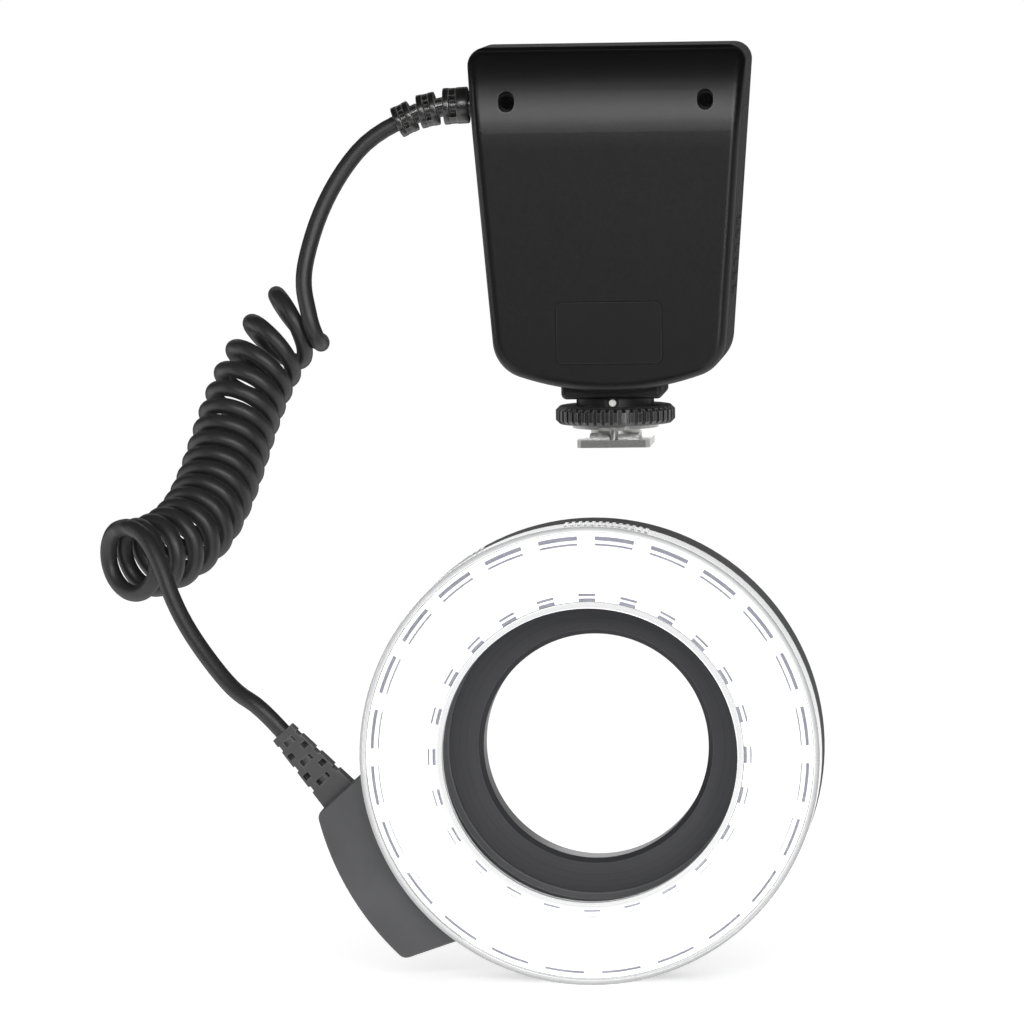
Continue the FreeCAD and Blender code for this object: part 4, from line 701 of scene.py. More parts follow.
def clear_plastic(name, dull, tint):
    """Clear moulded plastic that lets the lamps through to what is behind it."""
    plain = {"Transmission Weight": 1.0, "IOR": 1.47, "Base Color": (*tint, 1)}
    made, tree, shader = new_material(name, plain)
    marks = put(tree, "Group", node_tree=fine_scratches)
    set_roughness(tree, shader, marks.outputs["Patch"], dull, dull + 0.05)
    lamp_ray = put(tree, "LightPath").outputs["Is Shadow Ray"]
    body = tree.nodes["Principled BSDF"].outputs[0]
    open_side = put(tree, "BsdfTransparent", {"Color": (*tint, 1)}).outputs[0]
    both = put(tree, "MixShader", {0: lamp_ray, 1: body, 2: open_side}).outputs[0]
    tree.links.new(both, tree.nodes["Material Output"].inputs["Surface"])
    return made


def both_of(tree, value, low, high):
    """1 where a value lies between two others."""
    return product(tree, maths(tree, "GREATER_THAN", value, low), maths(tree, "LESS_THAN", value, high))


def bar_mask(tree):
    """How dark the display's rising bars are: nearly black where lit and faint beyond."""
    place = place_in_frame(tree)
    along = maths(tree, "DIVIDE", maths(tree, "SUBTRACT", bars_start, place["X"]), bar_pitch)
    number = maths(tree, "FLOOR", along)
    inside_bar = maths(tree, "LESS_THAN", maths(tree, "FRACT", along), bar_share)
    height = maths(tree, "SUBTRACT", place["Z"], bar_foot)
    top = product(tree, maths(tree, "ADD", number, lowest_bar_steps), bar_step)
    in_row = both_of(tree, along, 0.0, float(bar_count))
    bar = product(tree, inside_bar, in_row, both_of(tree, height, 0.0, top))
    lit = maths(tree, "LESS_THAN", number, bars_lit - 0.5)
    return product(tree, bar, mix_values(tree, lit, faint_bar_darkness, lit_bar_darkness))


def make_display():
    made, tree, shader = new_material("display_glass", {"Specular IOR Level": 0.5})
    grain = put(tree, "Group", node_tree=mould_grain)
    glass = mix_colours(tree, grain.outputs["Tone"], (0.22, 0.25, 0.17, 1), (0.27, 0.30, 0.21, 1))
    tree.links.new(mix_colours(tree, bar_mask(tree), glass, (0.012, 0.014, 0.016, 1)), shader["Base Color"])
    set_roughness(tree, shader, grain.outputs["Speck"], 0.25, 0.4)
    return made


finish(clear_plastic("window_plastic", 0.02, (0.97, 0.98, 0.98)), "display_window")
finish(make_display(), "display_module")

# Buttons, switch and lamp
# Five round keys stand proud of the panel, two of them with a moulded plus and minus filled with
# white. The switch knob has thumb grooves, and the lamp is a small red lens.
mark_half_length = 0.0016
mark_half_width = 0.00032
mark_depth = 0.0003
key_strokes = {"button_minus": 1, "button_plus": 2}


def key_mark(tree, name, strokes):
    """1 on the white strokes in a key's top: one across it, and for a plus one upright too."""
    low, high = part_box(name)
    middle = (low + high) / 2
    place = place_in_frame(tree)
    across = maths(tree, "ABSOLUTE", maths(tree, "SUBTRACT", place["X"], middle.x))
    upward = maths(tree, "ABSOLUTE", maths(tree, "SUBTRACT", place["Z"], middle.z))
    white = None
    for along, aside in ((across, upward), (upward, across))[:strokes]:
        in_length = maths(tree, "LESS_THAN", along, mark_half_length)
        stroke = product(tree, in_length, maths(tree, "LESS_THAN", aside, mark_half_width))
        white = stroke if white is None else maths(tree, "MAXIMUM", white, stroke)
    return product(tree, white, maths(tree, "GREATER_THAN", place["Y"], high.y - mark_depth))


def make_key(name, strokes):
    """Satin key plastic, with its white strokes, if it has any."""
    made, tree, shader = new_material(name, {"Specular IOR Level": 0.4})
    surface = put(tree, "Group", node_tree=mould_grain)
    edges = put(tree, "Group", node_tree=edge_wear_and_highlight)
    colour = mix_colours(tree, surface.outputs["Tone"], (0.02, 0.02, 0.021, 1), (0.028, 0.028, 0.029, 1))
    colour = mix_colours(tree, edges.outputs["Mask"], colour, (0.09, 0.09, 0.09, 1))
    if strokes:
        colour = mix_colours(tree, key_mark(tree, name, strokes), colour, (0.7, 0.7, 0.68, 1))
    tree.links.new(colour, shader["Base Color"])
    set_roughness(tree, shader, surface.outputs["Speck"], 0.4, 0.55)
    tree.links.new(surface.outputs["Normal"], shader["Normal"])
    return made


for key in ("button_mode", "button_minus", "button_plus", "button_light", "button_test", "power_switch"):
    finish(make_key(key, key_strokes.get(key, 0)), key)


def make_lamp_lens():
    plain = {"Transmission Weight": 0.4, "Emission Strength": 0.9, "Specular IOR Level": 0.6}
    made, tree, shader = new_material("lamp_lens", plain)
    surface = put(tree, "Group", node_tree=mould_grain)
    red = mix_colours(tree, surface.outputs["Tone"], (0.55, 0.02, 0.01, 1), (0.75, 0.05, 0.02, 1))
    tree.links.new(red, shader["Base Color"])
    tree.links.new(red, shader["Emission Color"])
    set_roughness(tree, shader, surface.outputs["Speck"], 0.12, 0.25)
    return made


finish(make_lamp_lens(), "ready_lamp")

# Boards and what is on them
# Green boards with copper tracks under the lacquer and tinned pads. The chip is black epoxy, the
# coil's core is grey ferrite, the sockets are cream nylon and the switch bodies are steel.
track_loops = 4.0
track_share = 0.55
track_cell_scale = 0.35
pad_radius = 0.22


def track_group():
    """A board's copper tracks, which run square to each other, and its small tinned pads."""
    tree, given, made = new_group("board_tracks", {"Pitch": 0.0016}, {"Track": "Float", "Pad": "Float"})
    place = put(tree, "TexCoord").outputs["Object"]
    scale = maths(tree, "DIVIDE", 1.0, given["Pitch"])
    coarse = {"Vector": place, "Scale": product(tree, scale, track_cell_scale)}
    cells = put(tree, "TexVoronoi", coarse, distance="CHEBYCHEV", feature="F1")
    loops = maths(tree, "FRACT", product(tree, cells.outputs["Distance"], track_loops))
    track = maths(tree, "GREATER_THAN", loops, track_share)
    dots = put(tree, "TexVoronoi", {"Vector": place, "Scale": scale}, feature="F1")
    pad = maths(tree, "LESS_THAN", dots.outputs["Distance"], pad_radius)
    tree.links.new(track, made["Track"])
    tree.links.new(pad, made["Pad"])
    return tree


board_tracks = track_group()


def make_board(name, lacquer, copper):
    made, tree, shader = new_material(name, {"Specular IOR Level": 0.6})
    pattern = put(tree, "Group", node_tree=board_tracks)
    colour = mix_colours(tree, pattern.outputs["Track"], (*lacquer, 1), (*copper, 1))
    colour = mix_colours(tree, pattern.outputs["Pad"], colour, (0.6, 0.6, 0.57, 1))
    tree.links.new(colour, shader["Base Color"])
    tree.links.new(product(tree, pattern.outputs["Pad"], 0.9), shader["Metallic"])
    set_roughness(tree, shader, pattern.outputs["Track"], 0.35, 0.28)
    set_relief(tree, shader, pattern.outputs["Track"], 0.00004, 0.6)
    return made


finish(make_board("board_lacquer", (0.008, 0.07, 0.025), (0.015, 0.14, 0.05)), "main_board", "pod_board")
chip_epoxy = moulded(
    "chip_epoxy", (0.014, 0.014, 0.015), (0.02, 0.02, 0.021), (0.05, 0.05, 0.05),
    dull=0.6, grain=0.0002, depth=0.00001, wear_and_highlight_width=0.0002, gloss=0.4,
)
ferrite = moulded(
    "ferrite", (0.045, 0.045, 0.05), (0.07, 0.07, 0.075), (0.14, 0.14, 0.14),
    dull=0.65, grain=0.0003, depth=0.00003, wear_and_highlight_width=0.0004, gloss=0.4,
)
nylon = moulded(
    "nylon", (0.62, 0.60, 0.50), (0.70, 0.68, 0.58), (0.78, 0.77, 0.70),
    dull=0.45, grain=0.0006, depth=0.00001, wear_and_highlight_width=0.0003, gloss=0.5,
)
wire_sleeve = moulded(
    "wire_sleeve", (0.30, 0.025, 0.02), (0.36, 0.03, 0.025), (0.5, 0.08, 0.07),
    dull=0.4, grain=0.0008, depth=0.00001, wear_and_highlight_width=0.0001, gloss=0.5,
)
switch_metal = plated("switch_metal", (0.5, 0.5, 0.49), (0.7, 0.7, 0.68), dull=0.35, size=0.003)
finish(chip_epoxy, "control_chip")
finish(ferrite, "boost_coil")
finish(nylon, "lead_socket", "pod_socket")
finish(wire_sleeve, "controller_leads", "head_leads", "ring_leads")
finish(switch_metal, "tact_switches", "switch_block")

# Foot block and its bracket
# The block closes the case from below and narrows to the collar with the white index dot. A steel
# bracket spreads the load inside.
block_plastic = moulded(
    "block_plastic", (0.007, 0.007, 0.0074), (0.010, 0.010, 0.0105), (0.05, 0.05, 0.05),
    dull=0.42, grain=0.0004, depth=0.00002, wear_and_highlight_width=0.0005, gloss=0.4,
)
finish(block_plastic, "foot_block")
foot_metal = plated("foot_metal", (0.48, 0.48, 0.47), (0.66, 0.66, 0.65), dull=0.3, size=0.003)
finish(foot_metal, "foot_bracket", "foot_post", "pressure_plate", "lock_pin")
dot_paint = moulded(
    "dot_paint", (0.80, 0.80, 0.78), (0.86, 0.86, 0.84), (0.9, 0.9, 0.88),
    dull=0.4, grain=0.0003, depth=0.00001, wear_and_highlight_width=0.0001, gloss=0.5,
)
finish(dot_paint, "index_dot")

# Foot plate and contact
# The plate that slides into the shoe is polished steel, scratched along its travel. The sprung
# contact in its middle is gold-coloured brass.


def make_plate_steel():
    made, tree, shader = new_material("plate_steel", {"Metallic": 1.0})
    place = put(tree, "TexCoord").outputs["Object"]
    along = put(tree, "Mapping", {"Vector": place, "Scale": (9000, 160, 9000)})
    lines = put(tree, "TexNoise", {"Vector": along.outputs[0], "Scale": 1.0, "Detail": 3.0}).outputs["Fac"]
    edges = put(tree, "Group", node_tree=edge_wear_and_highlight)
    tone = mix_colours(tree, lines, (0.42, 0.42, 0.41, 1), (0.62, 0.62, 0.61, 1))
    worn_and_lit_tone = mix_colours(tree, edges.outputs["Mask"], tone, (0.75, 0.75, 0.74, 1))
    tree.links.new(worn_and_lit_tone, shader["Base Color"])
    set_roughness(tree, shader, lines, 0.18, 0.4)
    set_relief(tree, shader, lines, 0.00001, 0.3)
    return made


finish(make_plate_steel(), "foot_plate")
contact_brass = plated("contact_brass", (0.75, 0.50, 0.16), (0.85, 0.66, 0.32), dull=0.25, size=0.002)
finish(contact_brass, "centre_contact")

# Locking wheel
# A black knurled wheel that clamps the plate under it. Its ribs are polished by fingers.
wheel_plastic = moulded(
    "wheel_plastic", (0.006, 0.006, 0.0063), (0.009, 0.009, 0.0095), (0.16, 0.16, 0.16),
    dull=0.30, grain=0.0004, depth=0.00001, wear_and_highlight_width=0.0004, gloss=0.9,
)
finish(wheel_plastic, "lock_wheel")

# Light head housing and pod
# The housing is a deep channel in dark grey plastic with the pod for the cord on its side. The
# pod's rear cover closes it. Both have the same dull grain.
head_plastic = moulded(
    "head_plastic", (0.055, 0.055, 0.058), (0.078, 0.078, 0.082), (0.16, 0.16, 0.165),
    dull=0.42, grain=0.0004, depth=0.00003, wear_and_highlight_width=0.0006, gloss=0.6,
)
finish(head_plastic, "head_housing", "pod_cover")

# Boot on the light head
# A flat rubber strain relief, wider towards the pod, with slots by turns in its middle and its
# edges. A flange behind the pod's wall holds it.
head_boot_tip = Vector(lower_route[-1])
head_boot_way = Vector((0.661, 0, -0.7504)).normalized()
head_boot_length = 0.0208
head_boot_half_widths = (0.0030, 0.0047)
head_boot_half_depths = (0.0025, 0.0032)
head_boot_slots = 5
head_boot_plain_tip = 0.0021
head_boot_slot_pitch = 0.0031
head_boot_slot = 0.0015
head_boot_columns = (-1.128, -1, -0.87, -0.44, 0.44, 0.87, 1, 1.128)
head_boot_core = 0.0021
head_boot_edge = 0.00016
head_boot_web = 0.0010
head_boot_web_share = 0.86
stub_inset = 0.0004
pod_wall = 0.0016
flange_gap = 0.0002
flange_thickness = 0.0015


def boot_levels():
    """Stations along the boot, each with the columns that are solid from it to the next."""
    full = {1, 2, 3, 4, 5}
    middle_open = {2, 4}
    sides_open = {1, 3, 5}
    levels = [(0.0, full)]
    for k in range(head_boot_slots):
        low = head_boot_plain_tip + k * head_boot_slot_pitch
        levels.append((low, sides_open if k % 2 else middle_open))
        levels.append((low + head_boot_slot, full))
    levels.append((head_boot_length, {2, 3, 4}))
    flange_start = head_boot_length + pod_wall + flange_gap
    levels.append((flange_start, {0, 1, 2, 3, 4, 5, 6}))
    levels.append((flange_start + flange_thickness, set()))
    return levels


def boot_corner(height, column, front):
    """A corner of the boot's cells: how far along it, how far across, and in front or behind."""
    share = min(height / head_boot_length, 1)
    half_width = head_boot_half_widths[0] + (head_boot_half_widths[1] - head_boot_half_widths[0]) * share
    half_depth = head_boot_half_depths[0] + (head_boot_half_depths[1] - head_boot_half_depths[0]) * share
    if height > head_boot_length:
        half_depth -= stub_inset
    across = Vector((0, 1, 0)).cross(head_boot_way).normalized()
    place = head_boot_tip + head_boot_way * height + across * head_boot_columns[column] * half_width
    return place + Vector((0, -half_depth if front else half_depth, 0))


def cell_walls(levels, level, column):
    """The sides of one solid cell that no other solid cell covers."""
    def filled(row, place):
        return 0 <= row < len(levels) and place in levels[row][1]

    up = level + 1
    right = column + 1
    walls = [
        (filled(level - 1, column), (level, column), (level, right)),
        (filled(up, column), (up, column), (up, right)),
        (filled(level, column - 1), (level, column), (up, column)),
        (filled(level, right), (level, right), (up, right)),
    ]
    return [(one, two) for joined, one, two in walls if not joined]


def add_boot_web(made):
    """The thin web in the boot's middle plane, deep in its slots."""
    across = Vector((0, 1, 0)).cross(head_boot_way).normalized()
    rings = []
    for height, half_width in zip((head_boot_plain_tip, head_boot_length), head_boot_half_widths):
        middle = head_boot_tip + head_boot_way * height
        side = across * half_width * head_boot_web_share
        depth = Vector((0, head_boot_web / 2, 0))
        corners = (middle - side - depth, middle + side - depth, middle + side + depth, middle - side + depth)
        rings.append([made.verts.new(corner) for corner in corners])
    join_rings(made, rings)


def make_head_boot():
    """The boot from solid cells between its stations and columns, with rounded edges."""
    levels = boot_levels()
    made = bmesh.new()
    corners = {}

    def corner(spot, front):
        key = (*spot, front)
        if key not in corners:
            corners[key] = made.verts.new(boot_corner(levels[spot[0]][0], spot[1], front))
        return corners[key]

    for level in range(len(levels) - 1):
        for column in levels[level][1]:
            square = [(level, column), (level, column + 1), (level + 1, column + 1), (level + 1, column)]
            for front in (True, False):
                made.faces.new([corner(spot, front) for spot in square])
            for one, two in cell_walls(levels, level, column):
                made.faces.new([corner(one, True), corner(two, True), corner(two, False), corner(one, False)])
    bmesh.ops.recalc_face_normals(made, faces=made.faces)
    sharp = [edge for edge in made.edges if edge.calc_face_angle(0) > sharp_edge]
    bmesh.ops.bevel(made, geom=sharp, offset=head_boot_edge, segments=2, affect="EDGES", profile=0.6)
    add_boot_web(made)
    core_end = head_boot_length + pod_wall
    lathe(made, head_boot_tip, head_boot_way, [(0, head_boot_core), (core_end, head_boot_core)])
    return new_piece("head_boot_moulding", made)


grey_rubber = moulded(
    "grey_rubber", (0.05, 0.05, 0.052), (0.065, 0.065, 0.067), (0.17, 0.17, 0.175),
    dull=0.48, grain=0.0005, depth=0.00003, wear_and_highlight_width=0.0004, gloss=0.5,
)
head_boot = make_head_boot()
head_boot.data.materials.append(grey_rubber)
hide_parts("head_boot")
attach(head_boot, "light_head")

# Board for the lights
# A ring of white-lacquered board, which throws back what light reaches it.
finish(make_board("lights_board", (0.6, 0.62, 0.6), (0.68, 0.70, 0.68)), "led_board")

# Lights
# Forty-eight clear round lights in two staggered rows of twenty-four, all lit. Each is brightest in
# its middle, over the chip.
head_low, head_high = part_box("head_housing")
head_middle = Vector((0, 0, (head_low.z + head_high.z) / 2))
lights_per_row = 24
half_step = math.pi / lights_per_row
outer_row_radius = 0.0502
inner_row_radius = 0.0438


def from_axis(tree, place):
    """A point's sideways place, its height and its distance, all from the head's axis."""
    x = place["X"]
    z = maths(tree, "SUBTRACT", place["Z"], head_middle.z)
    squares = maths(tree, "ADD", product(tree, x, x), product(tree, z, z))
    return x, z, maths(tree, "SQRT", squares)


def rows_group():
    """How far a point is from the middle of the nearest light in a row, and the row's angle."""
    inputs = {"Row radius": outer_row_radius, "First angle": 0.0}
    outputs = {"Distance": "Float", "From middle": "Float", "Angle": "Float", "Round": "Float"}
    tree, given, made = new_group("light_row", inputs, outputs)
    x, z, radius = from_axis(tree, place_in_frame(tree))
    around = maths(tree, "ARCTAN2", z, x)
    offset = maths(tree, "SUBTRACT", around, given["First angle"])
    local = maths(tree, "WRAP", offset, half_step, -half_step)
    sideways = product(tree, given["Row radius"], maths(tree, "SINE", local))
    inward = product(tree, given["Row radius"], maths(tree, "COSINE", local))
    outward = maths(tree, "SUBTRACT", radius, inward)
    squares = maths(tree, "ADD", product(tree, sideways, sideways), product(tree, outward, outward))
    tree.links.new(maths(tree, "SQRT", squares), made["Distance"])
    tree.links.new(radius, made["From middle"])
    tree.links.new(local, made["Angle"])
    tree.links.new(around, made["Round"])
    return tree


light_row = rows_group()
light_radius = 0.0025
light_strength = 4.0


def put_row(tree, row_radius, first_angle):
    """The nearest place in a row, either a light's or one between two lights."""
    return put(tree, "Group", {"Row radius": row_radius, "First angle": first_angle}, node_tree=light_row)


def make_lights(name, row_radius, first_angle):
    plain = {"Emission Strength": light_strength, "Specular IOR Level": 0.5}
    made, tree, shader = new_material(name, plain)
    row = put_row(tree, row_radius, first_angle)
    edge = spread(tree, row.outputs["Distance"], 0.0, light_radius)
    tree.links.new(mix_colours(tree, edge, (1, 1, 1, 1), (0.62, 0.68, 0.78, 1)), shader["Emission Color"])
    tree.links.new(mix_colours(tree, edge, (0.95, 0.93, 0.7, 1), (0.8, 0.84, 0.9, 1)), shader["Base Color"])
    set_roughness(tree, shader, edge, 0.05, 0.15)
    return made


finish(make_lights("outer_lights", outer_row_radius, 0.0), "leds_outer")
finish(make_lights("inner_lights", inner_row_radius, half_step), "leds_inner")

# Reflector
# A white moulded ring with a flared cup round each light, and a thin flange that lies over the
# housing's rims. It glows with the lights, as painted light. Painted shade draws narrow grey dashes
# between the cups, where their light doesn't reach: two rows at its outer edge, wider at the top,
# and two at its inner one, and a faint grey line round its rim.
outer_shade_dashes = ((0.0535, 0.00045), (0.0520, 0.0002))
inner_shade_dashes = ((0.0396, 0.00025), (0.0383, 0.0004))
shade_dash_widening = 0.00012
shade_dash_blur = 0.00015
outer_shade_dash_half_angle = math.radians(5.2)
inner_shade_dash_half_angle = math.radians(3.1)
rim_shade_line = 0.0537
rim_shade_line_half_width = 0.0006
rim_shade_line_share = 0.16
reflector_glow = 0.6
flange_front = -0.10313
flange_rear = -0.10295
flange_inner = 0.0380
flange_outer = 0.0549
flange_sides = 180


def shade_line_mask(tree, row, radius, half_width):
    """1 on a thin line of painted shade round the ring, wider at the top than at the bottom."""
    off = maths(tree, "ABSOLUTE", maths(tree, "SUBTRACT", row.outputs["From middle"], radius))
    wider = product(tree, maths(tree, "SINE", row.outputs["Round"]), shade_dash_widening)
    edge = maths(tree, "SUBTRACT", maths(tree, "SUBTRACT", off, wider), half_width)
    return spread(tree, edge, -shade_dash_blur, shade_dash_blur, 1.0, 0.0)


def shade_dash_mask(tree, row, shade_dashes, half_angle):
    """1 on the dashes of painted shade, each with its radius and half width, between the lights of a row."""
    near = maths(tree, "LESS_THAN", maths(tree, "ABSOLUTE", row.outputs["Angle"]), half_angle)
    one, two = (shade_line_mask(tree, row, radius, half_width) for radius, half_width in shade_dashes)
    return product(tree, maths(tree, "MAXIMUM", one, two), near)


def make_reflector():
    plain = {"Emission Strength": reflector_glow, "Specular IOR Level": 0.5}
    made, tree, shader = new_material("reflector_white", plain)
    between_outer = put_row(tree, outer_row_radius, half_step)
    between_inner = put_row(tree, inner_row_radius, 0.0)
    # Painted shade: the dashes between the cups and a faint line round the rim, grey in colour and dark in
    # glow.
    shade_dashes = maths(
        tree, "MAXIMUM",
        shade_dash_mask(tree, between_outer, outer_shade_dashes, outer_shade_dash_half_angle),
        shade_dash_mask(tree, between_inner, inner_shade_dashes, inner_shade_dash_half_angle),
    )
    line = shade_line_mask(tree, between_outer, rim_shade_line, rim_shade_line_half_width)
    shade_dashes = maths(tree, "MAXIMUM", shade_dashes, product(tree, line, rim_shade_line_share))
    surface = put(tree, "Group", node_tree=mould_grain)
    white = mix_colours(tree, surface.outputs["Tone"], (0.86, 0.86, 0.86, 1), (0.90, 0.90, 0.90, 1))
    tree.links.new(mix_colours(tree, shade_dashes, white, (0.16, 0.16, 0.19, 1)), shader["Base Color"])
    tree.links.new(mix_colours(tree, shade_dashes, (1, 1, 1, 1), (0.06, 0.06, 0.08, 1)), shader["Emission Color"])
    set_roughness(tree, shader, surface.outputs["Speck"], 0.3, 0.5)
    tree.links.new(surface.outputs["Normal"], shader["Normal"])
    return made


def ring_plate(made, inner, outer, front, rear):
    """A flat ring round the head's axis."""
    turns = [k * math.tau / flange_sides for k in range(flange_sides)]
    loops = []
    for radius, y in ((inner, front), (outer, front), (outer, rear), (inner, rear)):
        places = [(radius * math.cos(t), y, head_middle.z + radius * math.sin(t)) for t in turns]
        loops.append([made.verts.new(place) for place in places])
    for one, two in zip(loops, loops[1:] + loops[:1]):
        for k in range(flange_sides):
            made.faces.new((one[k], one[k - 1], two[k - 1], two[k]))


reflector_mesh = bmesh.new()
reflector_mesh.from_mesh(nodes["reflector"].data)
ring_plate(reflector_mesh, flange_inner, flange_outer, flange_front, flange_rear)
reflector = new_piece("reflector_moulding", reflector_mesh)
reflector.data.materials.clear()
reflector.data.materials.append(make_reflector())
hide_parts("reflector")
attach(reflector, "light_head")

# Clear cap
# A clear acrylic cover with a skirt that snaps over the housing and fine teeth to grip it by. The
# light that runs along inside the plastic comes out at both of its rims.
cap_glow = 0.7
cap_edge_glow = 0.15
cap_skirt_glow = 0.05
cap_bore_glow = 0.07
cap_glow_rear = -0.1031
cap_rim_inner = 0.0378
cap_rim_outer = 0.0551
cap_outside = 0.0565
cap_plastic = clear_plastic("clear_cap", 0.02, (0.985, 0.99, 0.995))


def light_cap_rims(made):
    """Makes the cap's front rims glow, less so outwards, and its skirt and bore a little."""
    tree = made.node_tree
    radius = put(tree, "Group", node_tree=light_row).outputs["From middle"]
    inside = maths(tree, "LESS_THAN", radius, cap_rim_inner)
    outside = maths(tree, "GREATER_THAN", radius, cap_rim_outer)
    front = maths(tree, "LESS_THAN", place_in_frame(tree)["Y"], cap_glow_rear)
    glow = spread(tree, radius, cap_rim_outer, cap_outside, cap_glow, cap_edge_glow)
    outer_skirt = product(tree, outside, cap_skirt_glow)
    skirts = maths(tree, "ADD", outer_skirt, product(tree, inside, cap_bore_glow))
    front_glow = product(tree, maths(tree, "ADD", inside, outside), glow)
    shader = tree.nodes["Principled BSDF"].inputs
    shader["Emission Color"].default_value = (1, 1, 1, 1)
    tree.links.new(mix_values(tree, front, skirts, front_glow), shader["Emission Strength"])


light_cap_rims(cap_plastic)
finish(cap_plastic, "diffuser_cap")

# Adapter ring and keeper ring
# The ring that screws into the lens is turned aluminium, anodised black, and its disc turns freely
# in the head. A black steel ring with four screws keeps it in.
turning_scale = 3200.0
turned_wear_and_highlight_width = 0.0003


def make_turned_black(name, colour, shine, dull):
    """Fine turning marks round the head's axis, and edges worn to grey."""
    made, tree, shader = new_material(name, {"Metallic": 0.5})
    place = place_in_frame(tree)
    radius = from_axis(tree, place)[2]
    where = put(tree, "CombineXYZ", {0: radius, 1: product(tree, place["Y"], 0.5)}).outputs[0]
    lines = put(tree, "TexNoise", {"Vector": where, "Scale": turning_scale, "Detail": 2.0}).outputs["Fac"]
    edges = put(tree, "Group", {"Width": turned_wear_and_highlight_width}, node_tree=edge_wear_and_highlight)
    tone = mix_colours(tree, lines, (*colour, 1), (*shine, 1))
    worn_and_lit_tone = mix_colours(tree, edges.outputs["Mask"], tone, (0.16, 0.16, 0.17, 1))
    tree.links.new(worn_and_lit_tone, shader["Base Color"])
    set_roughness(tree, shader, lines, dull - 0.08, dull + 0.1)
    set_relief(tree, shader, lines, 0.00001, 0.5)
    return made


# The adapter's black anodising is lifted a little paler as painted light, for the glare from the lit ring.
adapter_black = make_turned_black("turned_black", (0.045, 0.045, 0.049), (0.075, 0.075, 0.081), 0.42)
finish(adapter_black, "adapter_ring")
keeper_black = make_turned_black("keeper_black", (0.03, 0.03, 0.031), (0.045, 0.045, 0.047), 0.45)
finish(keeper_black, "keeper_ring")

# Studio
# A plain pale floor and backdrop. A wide soft lamp in front, a little above the camera, draws the
# band of light along the brow, two narrow ones draw a line down each side and a soft one lights the
# rear. Gloss sees the backdrop and the floor near the object, and the rest of the room as dark.
floor_gap = 0.0002
floor_half = 6.0
near_floor = 0.2
far_floor = 0.8
floor_glow = 0.56


def lamp(name, place, aim, width, height, power):
    made = bpy.data.objects.new(name, bpy.data.lights.new(name, "AREA"))
    made.data.shape = "RECTANGLE"
    made.data.size = width
    made.data.size_y = height
    made.data.energy = power
    made.location = place
    made.rotation_euler = (Vector(aim) - Vector(place)).to_track_quat("-Z", "Y").to_euler()
    made.visible_camera = False
    bpy.context.scene.collection.objects.link(made)


lamp("front_lamp", (0.12, -1.38, 0.525), (0, 0, 0.03), 1.5, 0.26, 11)
lamp("right_lamp", (0.55, -1.30, 0.05), (0, 0, 0), 0.10, 0.8, 3.5)
lamp("left_lamp", (-1.35, -0.25, 0.15), (0, 0, 0), 0.12, 0.8, 1.5)
lamp("rear_lamp", (-0.25, 1.4, 0.55), (0, 0, 0), 1.0, 0.5, 5)
room_light = 0.5
room_in_front = 0.04
backdrop_edge = 0.9
backdrop_middle = 0.985
paper_end = -0.6
paper_start = -0.3


def seen_rays(tree, mirrored):
    """1 for rays from the camera and through clear plastic, and a given share for those in gloss."""
    path = put(tree, "LightPath").outputs
    seen = maths(tree, "MAXIMUM", path["Is Camera Ray"], path["Is Transmission Ray"])
    return maths(tree, "MAXIMUM", seen, product(tree, path["Is Glossy Ray"], mirrored))


def room_strength(tree):
    """White where it is seen, softer as light. In gloss, the backdrop is white and the room dark."""
    gloss = put(tree, "LightPath").outputs["Is Glossy Ray"]
    way = put(tree, "SeparateXYZ", {0: put(tree, "TexCoord").outputs["Generated"]}).outputs["Y"]
    mirrored = spread(tree, way, backdrop_edge, backdrop_middle, room_in_front, 1.0)
    seen = mix_values(tree, gloss, 1.0, mirrored)
    return mix_values(tree, seen_rays(tree, 1.0), room_light, seen)


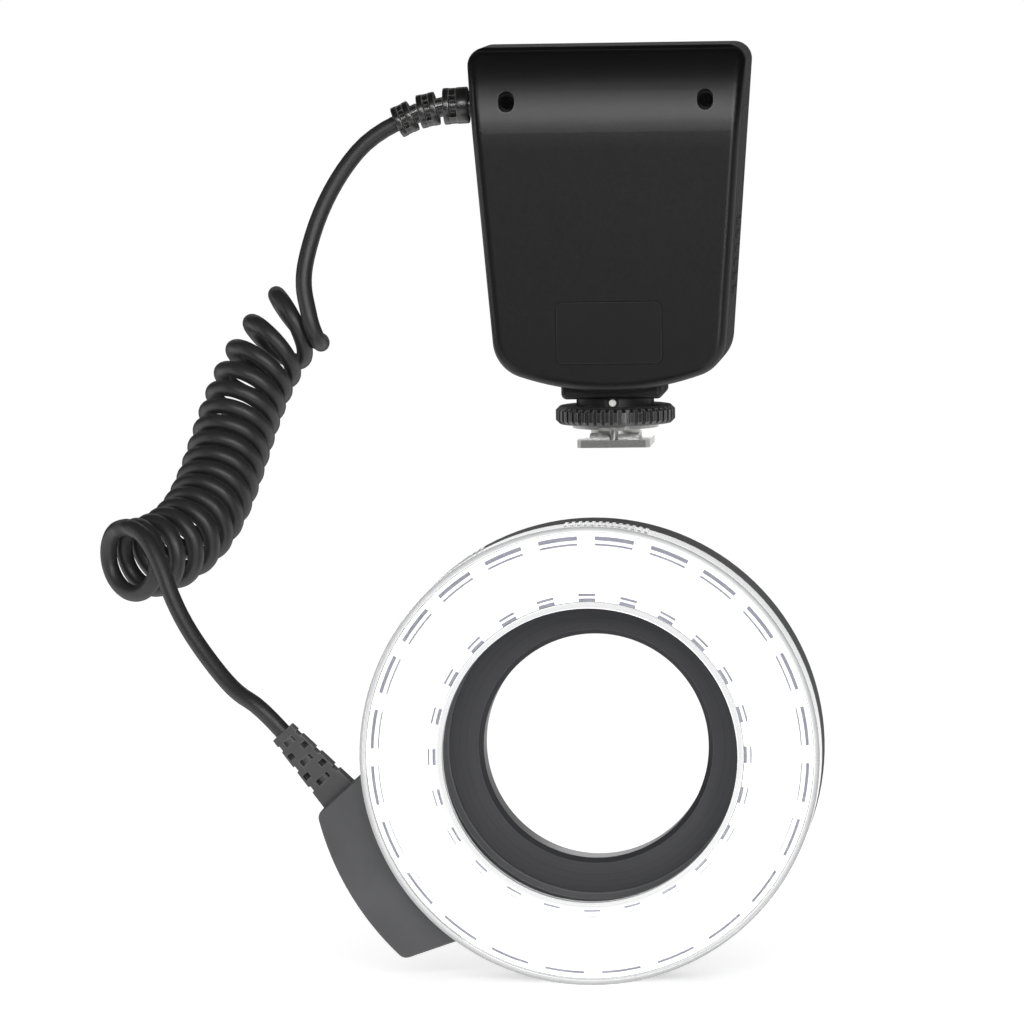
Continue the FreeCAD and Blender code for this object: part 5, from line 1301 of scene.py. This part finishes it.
world = bpy.data.worlds.new("studio")
world.use_nodes = True
sky = world.node_tree.nodes["Background"]
world.node_tree.links.new(room_strength(world.node_tree), sky.inputs["Strength"])
sky.inputs["Color"].default_value = (1, 1, 1, 1)
bpy.context.scene.world = world


def make_floor_paint():
    """Matt grey as a surface. Where it is seen, it fades into the white backdrop."""
    made, tree, shader = new_material("floor_paint", {"Roughness": 0.9, "Specular IOR Level": 0.1})
    gloss = put(tree, "LightPath").outputs["Is Glossy Ray"]
    tree.links.new(mix_colours(tree, gloss, (0.8, 0.8, 0.8, 1), (0.12, 0.12, 0.12, 1)), shader["Base Color"])
    glow = put(tree, "Emission", {"Color": (1, 1, 1, 1), "Strength": floor_glow}).outputs[0]
    matt = put(tree, "BsdfDiffuse", {"Color": (0.72, 0.72, 0.72, 1)}).outputs[0]
    near = put(tree, "AddShader", {0: matt, 1: glow}).outputs[0]
    place = put(tree, "TexCoord").outputs["Object"]
    away = put(tree, "VectorMath", {0: place}, operation="LENGTH").outputs["Value"]
    fade = spread(tree, away, near_floor, far_floor)
    white = put(tree, "Emission", {"Color": (1, 1, 1, 1), "Strength": 1.0}).outputs[0]
    pale = put(tree, "MixShader", {0: fade, 1: near, 2: white}).outputs[0]
    body = tree.nodes["Principled BSDF"].outputs[0]
    forward = put(tree, "SeparateXYZ", {0: place}).outputs["Y"]
    paper = spread(tree, forward, paper_end, paper_start)
    both = put(tree, "MixShader", {0: seen_rays(tree, paper), 1: body, 2: pale}).outputs[0]
    tree.links.new(both, tree.nodes["Material Output"].inputs["Surface"])
    return made


def make_floor():
    mesh = bpy.data.meshes.new("floor")
    z = cad_box[0][2] - floor_gap
    sides = ((-1, -1), (1, -1), (1, 1), (-1, 1))
    mesh.from_pydata([(floor_half * x, floor_half * y, z) for x, y in sides], [], [(0, 1, 2, 3)])
    mesh.materials.append(make_floor_paint())
    floor = bpy.data.objects.new("floor", mesh)
    bpy.context.scene.collection.objects.link(floor)


make_floor()
bpy.context.scene.view_settings.view_transform = "Standard"
